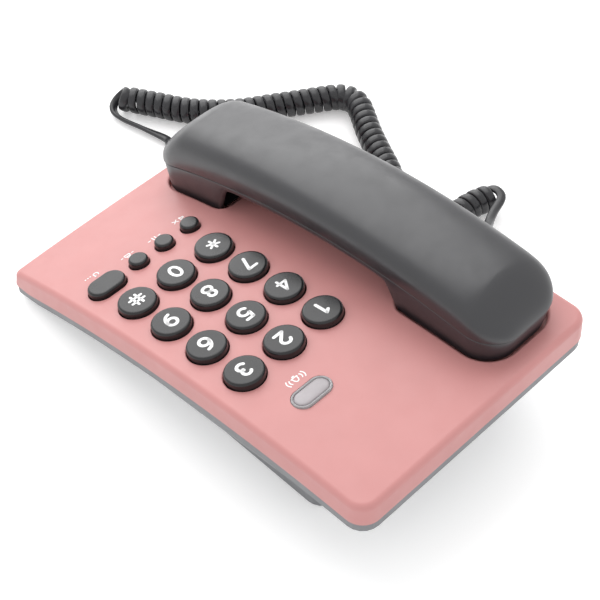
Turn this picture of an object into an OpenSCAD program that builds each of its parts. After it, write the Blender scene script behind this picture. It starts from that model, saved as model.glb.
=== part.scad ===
// Corded desk telephone: an arched base with a keypad and a cradle, a handset
// that lies in the cradle, and the curly cord between them.
// Millimetres. +X is the user's right, +Y points away from the user, +Z is up.
// The origin is the middle of the base's footprint, on the desk.

/* [Base] */
// Width of the base
base_w = 128; // [124:1:136]
// Length of the base, front to rear
base_l = 214; // [208:1:222]
// Radius of the base's front corners, seen from above
front_r = 4; // [3:0.5:8]
// Radius of the base's rear corners, seen from above
rear_r = 8.5; // [7:0.5:12]
// Outward bow of the front edge at the deck
front_bow = 1.5; // [0.5:0.5:3]
// Outward bow of the front edge at the seam
nose_bow = 0.4; // [0.2:0.1:1]
// Height of the seam's arch at the front
front_seam_z = 4.3; // [4:0.1:5]
// Height that the seam levels out at, near the front
nose_seam_z = 8.1; // [7.5:0.1:8.5]
// Height of the seam between the two covers at the rear
rear_seam_z = 41.7; // [41.5:0.1:44]
// Height of the upper cover above the seam
cover_h = 10.8; // [10:0.1:12]
// Rounding of the upper cover's top edge
edge_r = 2.6; // [1.5:0.1:3.2]
// Wall of the upper cover
wall = 2.4; // [2:0.1:2.8]
// Wall of the lower cover
lower_wall = 2.2; // [1.8:0.1:2.6]
// Height of the lower cover's lip under the seam
lip_h = 4.4; // [4:0.1:5]
// Gap at the seam between the two covers
seam_gap = 0.45; // [0.2:0.05:0.6]
// Height of the underside at the front edge
front_floor_z = 1; // [0.8:0.1:1.4]
// Height of the underside at its bend
knee_z = 15.7; // [14.5:0.1:16.5]
// Height of the underside at the rear edge
rear_floor_z = 33.9; // [33:0.1:34.5]

/* [Stand and feet] */
// Width of the wedge stand
stand_w = 102; // [90:1:108]
// Corner radius of the stand
stand_r = 8; // [5:0.5:12]
// Wall of the stand
stand_wall = 2; // [1.6:0.1:2.6]
// Radius of a rubber foot
foot_r = 6.2; // [5:0.1:7]
// Height of a rubber foot
foot_h = 2.4; // [2.1:0.1:2.8]
// Depth of a foot's recess
foot_recess = 0.8; // [0.5:0.1:1.1]

/* [Keypad] */
// Radius of a number key
key_r = 8.35; // [7.6:0.05:8.6]
// Radius of a round function key
small_key_r = 4.3; // [3.9:0.1:4.6]
// End radius of the redial key
redial_r = 5.6; // [5:0.1:5.8]
// Length of the redial key
redial_l = 17.6; // [16:0.1:18.4]
// Height of a key above the deck
key_rise = 3; // [2.4:0.1:3.4]
// Travel of a key
key_travel = 1.5; // [1:0.1:1.6]
// Rounding of a key's top edge
key_round = 1.2; // [0.6:0.1:1.5]
// Gap around a key in its hole
key_gap = 0.35; // [0.25:0.05:0.45]
// Length of the ringer lamp's lens
lamp_l = 18.5; // [16:0.5:20]
// Width of the ringer lamp's lens
lamp_w = 10; // [8:0.5:11]
// Depth of the main board under the deck
board_depth = 10; // [9.8:0.1:11]

/* [Cradle] */
// Depth of the handset's lobes below the deck
lobe_sink = 3.7; // [3:0.1:4.2]
// Gap between a lobe and the wall of its well
well_gap = 0.8; // [0.6:0.1:1]
// Gap under a resting lobe
rest_gap = 0.3; // [0.2:0.05:0.4]
// Flare of a well's rim
well_flare = 1.5; // [1.2:0.1:2.6]
// Travel of the hook plunger
hook_travel = 4; // [3:0.25:4.5]

/* [Handset] */
// Width of the handset
hs_w = 44.6; // [43:0.1:45]
// Corner radius of the handset's ends
hs_end_r = 15; // [12:0.5:17]
// Wall of the handset's shells
hs_wall = 2; // [1.7:0.1:2.3]
// Highest point of the parting line
part_z = 65.7; // [64:0.1:67]
// Fall of the parting line from its highest point to the mouth end
part_drop = 33.8; // [32:0.1:35]
// Height of the crown over the parting line at the mouth end
crown_mouth = 17.4; // [16:0.1:18.5]
// Height of the crown over the parting line at mid-length
crown_mid = 13.7; // [12:0.1:14]
// Height of the crown over the parting line at the ear end
crown_ear = 13; // [12:0.1:14]
// Depth of the handle under the parting line
handle_depth = 5; // [4.6:0.1:5.6]
// Length of the mouth lobe
mouth_l = 42; // [40:0.5:45]
// Length of the ear lobe
ear_l = 48; // [46:0.5:50]
// Draft of the lobes: how much narrower they are at the bottom, each side
lobe_draft = 1.5; // [1:0.1:2]

/* [Cord] */
// Width of the flat cord
cord_w = 4.2; // [3.8:0.1:4.6]
// Outer diameter of the curly part
coil_d = 13; // [12:0.5:13]

/* [Hidden] */
$fn = 48;

// Colours
cover_pink = [0.86, 0.6, 0.6];
case_grey = [0.5, 0.51, 0.52];
handset_grey = [0.3, 0.3, 0.32];
key_grey = [0.2, 0.2, 0.21];
cord_grey = [0.16, 0.16, 0.17];
board_green = [0.1, 0.35, 0.2];

// Small clearances and standard parts
eps = 0.01;
seat = 0.1;
screw_r = 1.5;
screw_head_r = 2.8;
screw_head_h = 2;
screw_gap = 0.2;
pilot_gap = 0.05;
boss_r = 4;
post_r = 3;
small_screw_r = 1;
small_head_r = 2;
small_head_h = 1.4;
jack_plug_gap = 0.15;
handset_plug_w = 7.65;
handset_plug_h = 6.6;
line_plug_w = 9.65;
line_plug_h = 6.68;

// The arch: seam and deck are equal cylinders about lines along X, one above
// the other, and the seam levels out near the front
half_l = base_l / 2;
seam_rise = rear_seam_z - front_seam_z;
arch_r = (pow(seam_rise, 2) + pow(base_l, 2)) / (2 * seam_rise);
nose_blend = 0.5;
function arch_z(y) = rear_seam_z - arch_r + sqrt(pow(arch_r, 2) - pow(half_l - y, 2));
function seam_z(y) = let (above = (arch_z(y) - nose_seam_z) / 2)
    nose_seam_z + above + sqrt(above * above + nose_blend * nose_blend);
function deck_z(y) = arch_z(y) + cover_h;
function deck_slope(y) = asin((half_l - y) / arch_r);

// The underside: two flat runs that meet at the knee, and the stand's ends
knee_y = -0.2 * base_l;
stand_front_y = knee_y + 11;
stand_rear_y = half_l - 34.5;
front_slope = (knee_z - front_floor_z) / (knee_y + half_l);
rear_slope = (rear_floor_z - knee_z) / (half_l - knee_y);
function run_slope(y) = y < knee_y ? front_slope : rear_slope;
function underside_z(y) = knee_z + (y - knee_y) * run_slope(y);
module on_floor(x, y) {
    tilt = atan(run_slope(y));
    translate([x, y, underside_z(y) + lower_wall / cos(tilt)])
        rotate([tilt, 0, 0])
            children();
}

// The right half of a rounded rectangle, from its front edge to its rear edge.
// ys lists the stations along its straight side.
corner_steps = 5;
function corner(cx, cy, r, start) = [
    for (i = [0:corner_steps])
        let (a = start + 90 * i / corner_steps) [cx + r * cos(a), cy + r * sin(a)]
];
function half_outline(hw, ya, yb, ra, rb, ys, bow = 0) = concat(
    bow == 0 ? [] : [for (t = [0.1, 0.4, 0.7]) [(hw - ra) * t, ya - bow * (1 - t * t)]],
    corner(hw - ra, ya + ra, ra, -90),
    [for (y = ys) [hw, y]],
    corner(hw - rb, yb - rb, rb, 0)
);
function stations(a, b, n) = [for (i = [1:n - 1]) a + (b - a) * i / n];

// A closed skin through half rings of equal length, each mirrored about X = 0,
// from the lowest ring to the highest. Its end caps are strips across X.
function mirrored(half) = concat(
    half, [for (i = [len(half) - 1:-1:0]) [-half[i].x, half[i].y, half[i].z]]
);
function cap_faces(m, first) = [
    for (i = [0:m - 2], k = [0:1])
        let (a = first + i, b = first + 2 * m - 1 - i)
            k == 0 ? [a, a + 1, b - 1] : [a, b - 1, b]
];
function reversed(faces) = [for (f = faces) [f[2], f[1], f[0]]];
module skin(halves) {
    m = len(halves[0]);
    n = 2 * m;
    sides = [
        for (k = [0:len(halves) - 2], i = [0:n - 1], t = [0:1])
            let (a = k * n + i, b = k * n + (i + 1) % n)
                t == 0 ? [a, a + n, b] : [b, a + n, b + n]
    ];
    polyhedron(
        points = [for (h = halves) each mirrored(h)],
        faces = concat(
            cap_faces(m, 0), sides, reversed(cap_faces(m, (len(halves) - 1) * n))
        )
    );
}

// Outline and rings of the base
base_stations = concat(
    stations(-half_l + rear_r, knee_y, 6), [knee_y],
    stations(knee_y, half_l - rear_r, 13)
);
least_r = 0.5;
function base_half(inset, bow = front_bow) = half_outline(
    base_w / 2 - inset, -half_l + bow + inset, half_l - inset,
    max(front_r - inset, least_r), max(rear_r - inset, least_r), base_stations, bow
);
function over_seam(inset, h) = [for (p = base_half(inset, nose_bow)) [p.x, p.y, seam_z(p.y) + h]];
function over_arch(inset, h) = [for (p = base_half(inset)) [p.x, p.y, arch_z(p.y) + h]];
function over_underside(inset, h) = [
    for (p = base_half(inset)) [p.x, p.y, min(underside_z(p.y), seam_z(p.y) - lip_h - 1.5) + h]
];
function over_inner_floor(inset, h) = [
    for (p = base_half(inset)) [p.x, p.y, underside_z(p.y) + lower_wall + h]
];

// Frame of the keypad: tangent to the deck at the middle of the number keys
key_pitch_x = 0.1641 * base_w;
key_pitch_y = 0.1023 * base_l;
pad_x = 0.2049 * base_w;
pad_y = -0.0174 * base_l;
pad_tilt = deck_slope(pad_y);
function deck_sag(v) = sqrt(pow(arch_r, 2) - v * v) - arch_r;
module on_pad(u, v) {
    translate([pad_x, pad_y, deck_z(pad_y)])
        rotate([pad_tilt, 0, 0])
            translate([u, v, 0])
                children();
}

// Places on the keypad, from its middle
small_key_v = -2.508 * key_pitch_y;
small_key_u = -1.2286 * key_pitch_x;
small_key_pitch = 0.689 * key_pitch_x;
redial_u = 1.0143 * key_pitch_x;
redial_v = small_key_v + 1.1;
lamp_u = 0.5045 * key_pitch_x;
lamp_v = 2.667 * key_pitch_y;
mat_margin = 1.9;
mat_left = small_key_u - small_key_r - mat_margin;
mat_right = redial_u + redial_l / 2 + mat_margin;
mat_front = small_key_v - redial_r - mat_margin;
mat_rear = 1.5 * key_pitch_y + key_r + mat_margin;
post_places = [
    for (u = [-0.5, 0.5], v = [-1, 1]) [u * key_pitch_x, v * key_pitch_y],
    [mat_left + 8, lamp_v + 1.6], [mat_right - 2, lamp_v + 1.6]
];
flange_w = 0.9;
flange_h = 1;
flange_gap = 0.9;
mat_h = 1;
collar_h = 0.5;
collar_w = 1.6;
stem_end = -(board_depth - key_travel - 0.3);
stem_r = 4.2;
small_stem_r = 2.4;
stem_gap = 0.3;
board_h = 1.6;
board_margin = 1;
board_front_v = mat_front - 3;
board_rear_v = lamp_v + 9.6;
board_screw_bite = 4.5;
lens_drop = 0.8;

// Number key places: column and row counted from the middle
function key_place(col, row) = [col * key_pitch_x, (row - 0.5) * key_pitch_y];
number_places = [for (col = [-1:1], row = [-1:2]) key_place(col, row)];
small_places = [for (i = [0:2]) [small_key_u + i * small_key_pitch, small_key_v]];

// A stadium of length l and width w, from z = 0 up
module stadium(l, w, h) {
    for (s = [-1, 1])
        translate([s * (l - w) / 2, 0, 0])
            cylinder(d = w, h = h);
    translate([-(l - w) / 2, -w / 2, 0])
        cube([l - w, w, h]);
}

// Case screws: front pair and rear pair, driven up through the lower cover
screw_places = [
    for (s = [-1, 1]) each [
        [s * (base_w / 2 - 28), -half_l + 23], [s * (base_w / 2 - 12), half_l - 15]
    ]
];
screw_bite = 4.5;
head_recess = 3.4;
front_foot_x = base_w / 2 - 15;
front_foot_y = -half_l + 15;
rear_foot_x = stand_w / 2 - 10;
rear_foot_inset = 11;
foot_rise = foot_h - foot_recess;
foot_rim = 1.4;
foot_places = [
    for (s = [-1, 1]) each [
        [s * front_foot_x, front_foot_y], [s * rear_foot_x, stand_rear_y - rear_foot_inset]
    ]
];

// Handset outline, parting line and domed top
hs_x = -0.2836 * base_w;
hs_front_y = -half_l + 6.6;
hs_rear_y = half_l - 8.8;
hs_half_w = hs_w / 2;
part_y = half_l - 55;
part_r = pow(part_y - hs_front_y, 2) / (2 * part_drop);
mouth_flat_y = hs_front_y + mouth_l;
ear_flat_y = hs_rear_y - ear_l;
ramp_l = 9;
crown_fade = 18.5;
crown_power = 2.83;
fade_power = 1.5;
part_gap = 0.2;
under_inset = 0.5;
hs_stations = concat(
    stations(hs_front_y + hs_end_r, mouth_flat_y, 4), [mouth_flat_y],
    stations(mouth_flat_y, mouth_flat_y + ramp_l, 4), [mouth_flat_y + ramp_l],
    stations(mouth_flat_y + ramp_l, ear_flat_y - ramp_l, 9), [ear_flat_y - ramp_l],
    stations(ear_flat_y - ramp_l, ear_flat_y, 4), [ear_flat_y],
    stations(ear_flat_y, hs_rear_y - hs_end_r, 4)
);
function part_line(y) = part_z - pow(y - part_y, 2) / (2 * part_r);
function part_slope(y) = atan((part_y - y) / part_r);
function lobe_z(y) = deck_z(y) - lobe_sink;
function crown(y) = let (s = (y - hs_front_y) / (hs_rear_y - hs_front_y))
    crown_mouth * (1 - s) * (1 - 2 * s) + 4 * crown_mid * s * (1 - s) + crown_ear * s * (2 * s - 1);
function clamped(v, low, high) = min(max(v, low), high);
function end_distance(y, inset) = min(y - hs_front_y, hs_rear_y - y) - inset;
function fade(y, inset) = let (t = clamped(1 - end_distance(y, inset) / crown_fade, 0, 1))
    pow(1 - pow(t, fade_power), 1 / fade_power);
function width_at(y, inset) = let (
    r = hs_end_r - inset, d = clamped(end_distance(y, inset), 0, r)
) hs_half_w - inset - r + sqrt(r * r - pow(r - d, 2));
function dome_z(x, y, inset) = let (u = clamped(abs(x) / width_at(y, inset), 0, 1))
    part_line(y) + (crown(y) - inset) * fade(y, inset) * pow(1 - pow(u, crown_power), 1 / crown_power);
function hs_half(inset) = half_outline(
    hs_half_w - inset, hs_front_y + inset, hs_rear_y - inset,
    hs_end_r - inset, hs_end_r - inset, hs_stations
);
function dome_ring(inset, part) = [
    for (p = hs_half(inset))
        let (
            middle = clamped(p.y, hs_front_y + crown_fade, hs_rear_y - crown_fade),
            x = p.x * part,
            y = middle + (p.y - middle) * part
        )
            [x, y, dome_z(x, y, inset)]
];
function smooth(t) = let (c = clamped(t, 0, 1)) c * c * (3 - 2 * c);
function lobe_share(y, shift) = 1
    - smooth((y - mouth_flat_y + shift) / ramp_l) * smooth((ear_flat_y - y + shift) / ramp_l);
function under_z(y, shift) = let (h = part_line(y) - handle_depth)
    h - lobe_share(y, shift) * (h - lobe_z(y));
function end_part(y) = clamped((hs_front_y + hs_end_r - y) / hs_end_r, 0, 1)
    - clamped((y - hs_rear_y + hs_end_r) / hs_end_r, 0, 1);
function under_ring(inset, rise, draft, shift = 0) = [
    for (p = hs_half(inset))
        let (d = draft * lobe_share(p.y, 0), y = p.y + d * end_part(p.y))
            [p.x * (1 - d / hs_half_w), y, under_z(y, shift) + rise]
];
function part_ring(inset, rise) = [
    for (p = hs_half(inset)) [p.x, p.y, part_line(p.y) + rise]
];

// Wells of the cradle: the outlines of the two lobes, grown by a gap
well_depth = lobe_sink + rest_gap;
lobe_inset = under_inset + lobe_draft;
lobe_end_r = 5;
lobe_end_clear = 4;
function mouth_half(grow) = half_outline(
    hs_half_w - lobe_inset + grow, hs_front_y + lobe_inset - grow,
    mouth_flat_y + lobe_end_clear + grow, hs_end_r - lobe_inset + grow, lobe_end_r + grow,
    stations(hs_front_y + hs_end_r, mouth_flat_y + lobe_end_clear - lobe_end_r, 4)
);
function ear_half(grow) = half_outline(
    hs_half_w - lobe_inset + grow, ear_flat_y - lobe_end_clear - grow,
    hs_rear_y - lobe_inset + grow, lobe_end_r + grow, hs_end_r - lobe_inset + grow,
    stations(ear_flat_y - lobe_end_clear + lobe_end_r, hs_rear_y - hs_end_r, 4)
);
function over_deck(half, h) = [for (p = half) [p.x, p.y, deck_z(p.y) + h]];
rim_steps = [[0, -well_depth], [0.15, -1.6], [0.5, -0.5], [1, 0.15], [1.2, 0.6]];
module mouth_well() {
    translate([hs_x, 0, 0])
        skin([for (s = rim_steps) over_deck(mouth_half(well_gap + s[0] * well_flare), s[1])]);
}
module ear_well() {
    translate([hs_x, 0, 0])
        skin([for (s = rim_steps) over_deck(ear_half(well_gap + s[0] * well_flare), s[1])]);
}
module well_housings() {
    grow = well_gap + wall;
    translate([hs_x, 0, 0]) {
        skin([for (h = [-well_depth - wall, -wall / 2]) over_deck(mouth_half(grow), h)]);
        skin([for (h = [-well_depth - wall, -wall / 2]) over_deck(ear_half(grow), h)]);
    }
}

// Hook plunger: a tongue in the ear well that the resting handset holds down
hook_y = hs_rear_y - 40.2;
hook_l = 10;
hook_w = 5;
hook_r = 1.5;
hook_gap = 0.3;
hook_top_z = lobe_z(hook_y - hook_w / 2) - rest_gap;
hook_flange_z = deck_z(hook_y - hook_w / 2) - well_depth - wall - hook_travel - 2 * rest_gap;
hook_flange_h = 1.2;
hook_platform_z = underside_z(hook_y + 6) + lower_wall + 0.6;
hook_switch_h = 5.5;
module tongue(grow, h) {
    r = hook_r + grow;
    for (sx = [-1, 1], sy = [-1, 1])
        translate([sx * (hook_l / 2 + grow - r), sy * (hook_w / 2 + grow - r), 0])
            cylinder(r = r, h = h);
    translate([-hook_l / 2 - grow + r, -hook_w / 2 - grow, 0])
        cube([hook_l + 2 * (grow - r), hook_w + 2 * grow, h]);
    translate([-hook_l / 2 - grow, -hook_w / 2 - grow + r, 0])
        cube([hook_l + 2 * grow, hook_w + 2 * (grow - r), h]);
}

// Jacks on the left wall and in the mouth end of the handset
jack_wall = 1;
jack_front_x = -base_w / 2 + 6.4;
base_jack_y = half_l - 59;
base_jack_l = 13;
base_jack_z = underside_z(base_jack_y + 5) + lower_wall + jack_wall + handset_plug_h / 2 + 0.5;
line_jack_y = half_l - 27;
line_jack_l = 16;
line_jack_z = underside_z(line_jack_y + 6) + lower_wall + jack_wall + line_plug_h / 2 + 2 * seat;
plug_out = 2.5;
plug_l = 13.5;
hs_jack_y = hs_front_y + 6.4;
hs_jack_rise = 5.4;
hs_jack_l = 11;
hs_jack_front = -1.9;
hs_plug_end = -11.2;
hs_plug_l = 14;
module socket(w, h, l) {
    translate([0, -w / 2 - jack_plug_gap, -h / 2 - jack_plug_gap])
        cube([l, w + 2 * jack_plug_gap, h + 2 * jack_plug_gap]);
}
module jack_block(w, h, l) {
    side = jack_wall + jack_plug_gap;
    difference() {
        translate([0, -w / 2 - side, -h / 2 - side])
            cube([l, w + 2 * side, h + 2 * side]);
        translate([-eps, 0, 0])
            socket(w, h, l - jack_wall);
    }
}
module on_mouth_jack() {
    translate([hs_x, hs_jack_y, deck_z(hs_jack_y) + hs_jack_rise])
        rotate([deck_slope(hs_jack_y), 0, 0])
            rotate([0, 0, 90])
                children();
}

// Parts inside the handset
ear_y = hs_rear_y - 24.2;
ear_capsule_r = 15.5;
ear_capsule_h = 8;
mic_y = hs_front_y + 27.4;
mic_capsule_r = 7;
mic_capsule_h = 7;
weight_l = 44;
weight_w = 15;
weight_h = 6;
hs_screw_ys = [mouth_flat_y + 20.4, ear_flat_y - 17.2];
hs_boss_r = 3.2;
module in_lobe(y) {
    translate([hs_x, y, lobe_z(y) + hs_wall / cos(deck_slope(y))])
        rotate([deck_slope(y), 0, 0])
            children();
}

// Cord: route points, chosen by hand. The tails start at the plugs.
coil_z = coil_d / 2 + seat;
coil_route = [
    [-46, -168.5], [-50, -162.5], [-53.5, -155.5], [-57.5, -148], [-62, -139], [-67.5, -130.5],
    [-74.5, -122.5], [-83.5, -114.5], [-94, -107.5], [-105, -100], [-115.5, -93], [-121.5, -88.5],
    [-124.5, -83.5], [-124.5, -78], [-121.5, -72], [-114.5, -61], [-108, -49], [-102.5, -38],
    [-97, -28], [-94, -18], [-93.5, -8], [-95, 0.5], [-98.5, 5], [-104, 6.5], [-109.5, 7],
    [-114.5, 8], [-118.5, 9.5], [-122.5, 11]
];
mouth_tail_route = [
    [-37.6, -115.5, 15.4], [-40.2, -120.5, 10.2], [-43.8, -125, 5.6], [-46, -129.5, 3.4],
    [-45.6, -135, 3], [-44.3, -141, 3], [-42.8, -148, 3], [-41.7, -154, 3], [-41.5, -159.5, 3.2],
    [-42.8, -164, 4.4]
];
base_tail_route = [
    [-124.6, 13.2, 9], [-122.6, 15, 11.3], [-119, 17, 11.6], [-114, 18.8, 11.4], [-108, 21.5, 12.6],
    [-102, 24.8, 14.8], [-95, 29.5, 19.5], [-86, 37, 27], [-78, 44.5, 32.6]
];
tail_gap = 0.3;
tail_straight = 5;
mouth_tail_start = [
    for (gap = [tail_gap, tail_straight]) let (a = deck_slope(hs_jack_y), d = hs_plug_end - gap)
        [hs_x, hs_jack_y + d * cos(a), deck_z(hs_jack_y) + hs_jack_rise + d * sin(a)]
];
base_plug_face = [-base_w / 2 - plug_out, base_jack_y, base_jack_z];
coil_points = [for (p = coil_route) [p.x, p.y, coil_z]];
function unit(v) = v / norm(v);
module tube(points, r, sides) {
    n = len(points);
    rings = [
        for (i = [0:n - 1])
            let (
                along = unit(points[min(i + 1, n - 1)] - points[max(i - 1, 0)]),
                across = unit(cross(along, [0, 0, 1])),
                up = cross(across, along)
            )
                [for (k = [0:sides - 1])
                    points[i] + r * (cos(360 * k / sides) * across + sin(360 * k / sides) * up)]
    ];
    polyhedron(
        points = [for (ring = rings) each ring],
        faces = concat(
            [[for (k = [0:sides - 1]) k]],
            [
                for (i = [0:n - 2], k = [0:sides - 1], t = [0:1])
                    let (a = i * sides + k, b = i * sides + (k + 1) % sides)
                        t == 0 ? [a, a + sides, b] : [b, a + sides, b + sides]
            ],
            [[for (k = [sides - 1:-1:0]) (n - 1) * sides + k]]
        )
    );
}

module upper_cover() {
    color(cover_pink) difference() {
        union() {
            difference() {
                skin(concat(
                    [over_seam(0, 0), over_arch(0.3, cover_h - edge_r)],
                    [
                        for (a = [30:30:90])
                            over_arch(0.3 + edge_r * (1 - cos(a)), cover_h - edge_r + edge_r * sin(a))
                    ]
                ));
                skin([
                    over_seam(wall, -1), over_arch(wall + 0.2, cover_h - wall - 1),
                    over_arch(wall + 1.2, cover_h - wall)
                ]);
            }
            well_housings();
            for (p = post_places)
                on_pad(p.x, p.y)
                    translate([0, 0, -board_depth + seat])
                        cylinder(r = post_r, h = board_depth - seat - 1 + deck_sag(p.y));
            for (p = screw_places)
                translate([p.x, p.y, seam_z(p.y)])
                    cylinder(r = boss_r, h = deck_z(p.y - boss_r) - seam_z(p.y) - wall / 4);
        }
        mouth_well();
        ear_well();
        for (p = number_places)
            on_pad(p.x, p.y)
                translate([0, 0, -board_depth])
                    cylinder(r = key_r + key_gap, h = 2 * board_depth);
        for (p = small_places)
            on_pad(p.x, p.y)
                translate([0, 0, -board_depth])
                    cylinder(r = small_key_r + key_gap, h = 2 * board_depth);
        on_pad(redial_u, redial_v)
            translate([0, 0, -board_depth])
                stadium(redial_l + 2 * key_gap, 2 * (redial_r + key_gap), 2 * board_depth);
        on_pad(lamp_u, lamp_v)
            translate([0, 0, -board_depth])
                stadium(lamp_l + 2 * seat, lamp_w + 2 * seat, 2 * board_depth);
        translate([hs_x, hook_y, deck_z(hook_y) - 2 * well_depth - wall])
            tongue(hook_gap, 2 * well_depth + wall);
        for (p = post_places)
            on_pad(p.x, p.y)
                translate([0, 0, -board_depth - eps])
                    cylinder(r = small_screw_r + pilot_gap, h = 5);
        for (p = screw_places)
            translate([p.x, p.y, seam_z(p.y) - eps])
                cylinder(r = screw_r + pilot_gap, h = screw_bite + 0.3);
    }
}

module lower_cover() {
    color(case_grey) difference() {
        union() {
            difference() {
                skin([
                    over_underside(4.5, 0), over_underside(3.2, 0.8),
                    over_seam(1.6, -lip_h - 0.5), over_seam(0.4, -lip_h), over_seam(0.4, -seam_gap),
                    over_seam(wall + 0.5, -seam_gap), over_seam(wall + 1, 1.5)
                ]);
                skin([
                    over_inner_floor(6.2, 0), over_inner_floor(5.6, 0.6),
                    [
                        for (p = base_half(wall + 2))
                            [p.x, p.y, max(seam_z(p.y) - lip_h, underside_z(p.y) + lower_wall + 1.2)]
                    ],
                    over_seam(wall + 2, 2)
                ]);
            }
            for (p = screw_places)
                translate([p.x, p.y, underside_z(p.y) + 1])
                    cylinder(r = boss_r, h = seam_z(p.y) - seat - underside_z(p.y) - 1);
            for (s = [-1, 1])
                translate([s * front_foot_x, front_foot_y, foot_rise])
                    cylinder(
                        r = foot_r + foot_rim,
                        h = underside_z(front_foot_y) + lower_wall + 0.8 - foot_rise
                    );
            translate([hs_x - 8, hook_y - 6, underside_z(hook_y - 6) + 1])
                cube([16, 12, hook_platform_z - underside_z(hook_y - 6) - 1]);
        }
        for (p = screw_places) {
            translate([p.x, p.y, underside_z(p.y) + head_recess - 8])
                cylinder(r = screw_head_r + screw_gap, h = 8);
            translate([p.x, p.y, underside_z(p.y)])
                cylinder(r = screw_r + screw_gap, h = seam_z(p.y) - underside_z(p.y) + 1);
        }
        for (s = [-1, 1])
            translate([s * front_foot_x, front_foot_y, -1])
                cylinder(r = foot_r + seat, h = foot_h + 1);
        translate([-base_w / 2 - 1, base_jack_y, base_jack_z])
            socket(handset_plug_w, handset_plug_h, jack_front_x + base_w / 2 + 1.5);
        translate([-base_w / 2 - 1, line_jack_y, line_jack_z])
            socket(line_plug_w, line_plug_h, jack_front_x + base_w / 2 + 1.5);
        for (u = [-6, 0, 6])
            on_floor(sounder_x + u, sounder_y)
                translate([-0.8, -7, -2 * lower_wall])
                    cube([1.6, 14, 3 * lower_wall]);
    }
}

sounder_x = hs_x;
sounder_y = knee_y - 19;
sounder_r = 13.5;
sounder_h = 5.5;
module sounder() {
    color(key_grey) on_floor(sounder_x, sounder_y)
        translate([0, 0, seat])
            difference() {
                cylinder(r = sounder_r, h = sounder_h);
                translate([0, 0, -eps])
                    cylinder(r = 1.2, h = 2);
                translate([0, 0, sounder_h - 1])
                    cylinder(r = sounder_r - 2, h = 2);
            }
}

ballast_w = 96;
ballast_l = 50;
ballast_h = 3;
ballast_y = knee_y + 56;
module ballast_weight() {
    color("silver") on_floor(0, ballast_y)
        translate([-ballast_w / 2, -ballast_l / 2, seat])
            cube([ballast_w, ballast_l, ballast_h]);
}

function stand_half(inset) = half_outline(
    stand_w / 2 - inset, stand_front_y + inset, stand_rear_y - inset,
    stand_r - inset, stand_r - inset, stations(stand_front_y + stand_r, stand_rear_y - stand_r, 4)
);
function stand_ring(inset, z) = [for (p = stand_half(inset)) [p.x, p.y, z]];
function stand_top(inset, rise) = [
    for (p = stand_half(inset)) [p.x, p.y, underside_z(p.y) + rise]
];
module stand_body() {
    skin([stand_ring(1, foot_rise), stand_ring(0, foot_rise + 1), stand_top(0, -seat)]);
}
module desk_stand() {
    color(case_grey) difference() {
        union() {
            difference() {
                stand_body();
                skin([stand_ring(stand_wall, foot_rise + stand_wall), stand_top(stand_wall, 1)]);
            }
            intersection() {
                stand_body();
                union() {
                    for (x = [-stand_w / 4, stand_w / 4])
                        translate([x - 0.8, stand_front_y, foot_rise + 1])
                            cube([1.6, stand_rear_y - stand_front_y, 60]);
                    translate([-stand_w / 2, (stand_front_y + stand_rear_y) / 2 - 0.8, foot_rise + 1])
                        cube([stand_w, 1.6, 60]);
                }
            }
        }
        for (s = [-1, 1])
            translate([s * rear_foot_x, stand_rear_y - rear_foot_inset, -1])
                cylinder(r = foot_r + seat, h = foot_h + 1);
    }
}

module rubber_feet() {
    color([0.12, 0.12, 0.12]) for (p = foot_places)
        translate([p.x, p.y, 0]) {
            cylinder(r1 = foot_r - 0.5, r2 = foot_r, h = 0.5);
            translate([0, 0, 0.5])
                cylinder(r = foot_r, h = foot_h - 0.5 - seat);
        }
}

module screw(r, length, head_r, head_h) {
    cylinder(r = r, h = length);
    translate([0, 0, -head_h])
        cylinder(r = head_r, h = head_h);
}
module case_screws() {
    color("silver") for (p = screw_places)
        translate([p.x, p.y, underside_z(p.y) + head_recess - seat])
            screw(
                screw_r, seam_z(p.y) + screw_bite - underside_z(p.y) - head_recess,
                screw_head_r, screw_head_h
            );
}

// Keys: cap, retaining flange and stem
module cap_profile(r, rise, drop) {
    translate([0, -drop])
        square([r, drop + rise - key_round]);
    square([r - key_round, rise]);
    translate([r - key_round, rise - key_round])
        intersection() {
            circle(r = key_round);
            square(key_round);
        }
}
module round_key(place, r, stem) {
    sag = deck_sag(place.y);
    drop = wall + flange_gap + flange_h;
    color(key_grey) on_pad(place.x, place.y) {
        translate([0, 0, sag])
            rotate_extrude()
                cap_profile(r, key_rise, drop);
        translate([0, 0, sag - drop])
            cylinder(r = r + flange_w, h = flange_h);
        translate([0, 0, stem_end])
            cylinder(r = stem, h = sag - drop - stem_end + eps);
    }
}
module number_key(col, row) {
    round_key(key_place(col, row), key_r, stem_r);
}
module small_key(i) {
    round_key(small_places[i], small_key_r, small_stem_r);
}
module redial_key() {
    sag = deck_sag(redial_v);
    drop = wall + flange_gap + flange_h;
    color(key_grey) on_pad(redial_u, redial_v) {
        translate([0, 0, sag])
            hull()
                for (s = [-1, 1])
                    translate([s * (redial_l / 2 - redial_r), 0, 0])
                        rotate_extrude($fn = 32)
                            cap_profile(redial_r, key_rise, drop);
        translate([0, 0, sag - drop])
            stadium(redial_l + 2 * flange_w, 2 * (redial_r + flange_w), flange_h);
        translate([0, 0, stem_end])
            cylinder(r = stem_r, h = sag - drop - stem_end + eps);
    }
}

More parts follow.
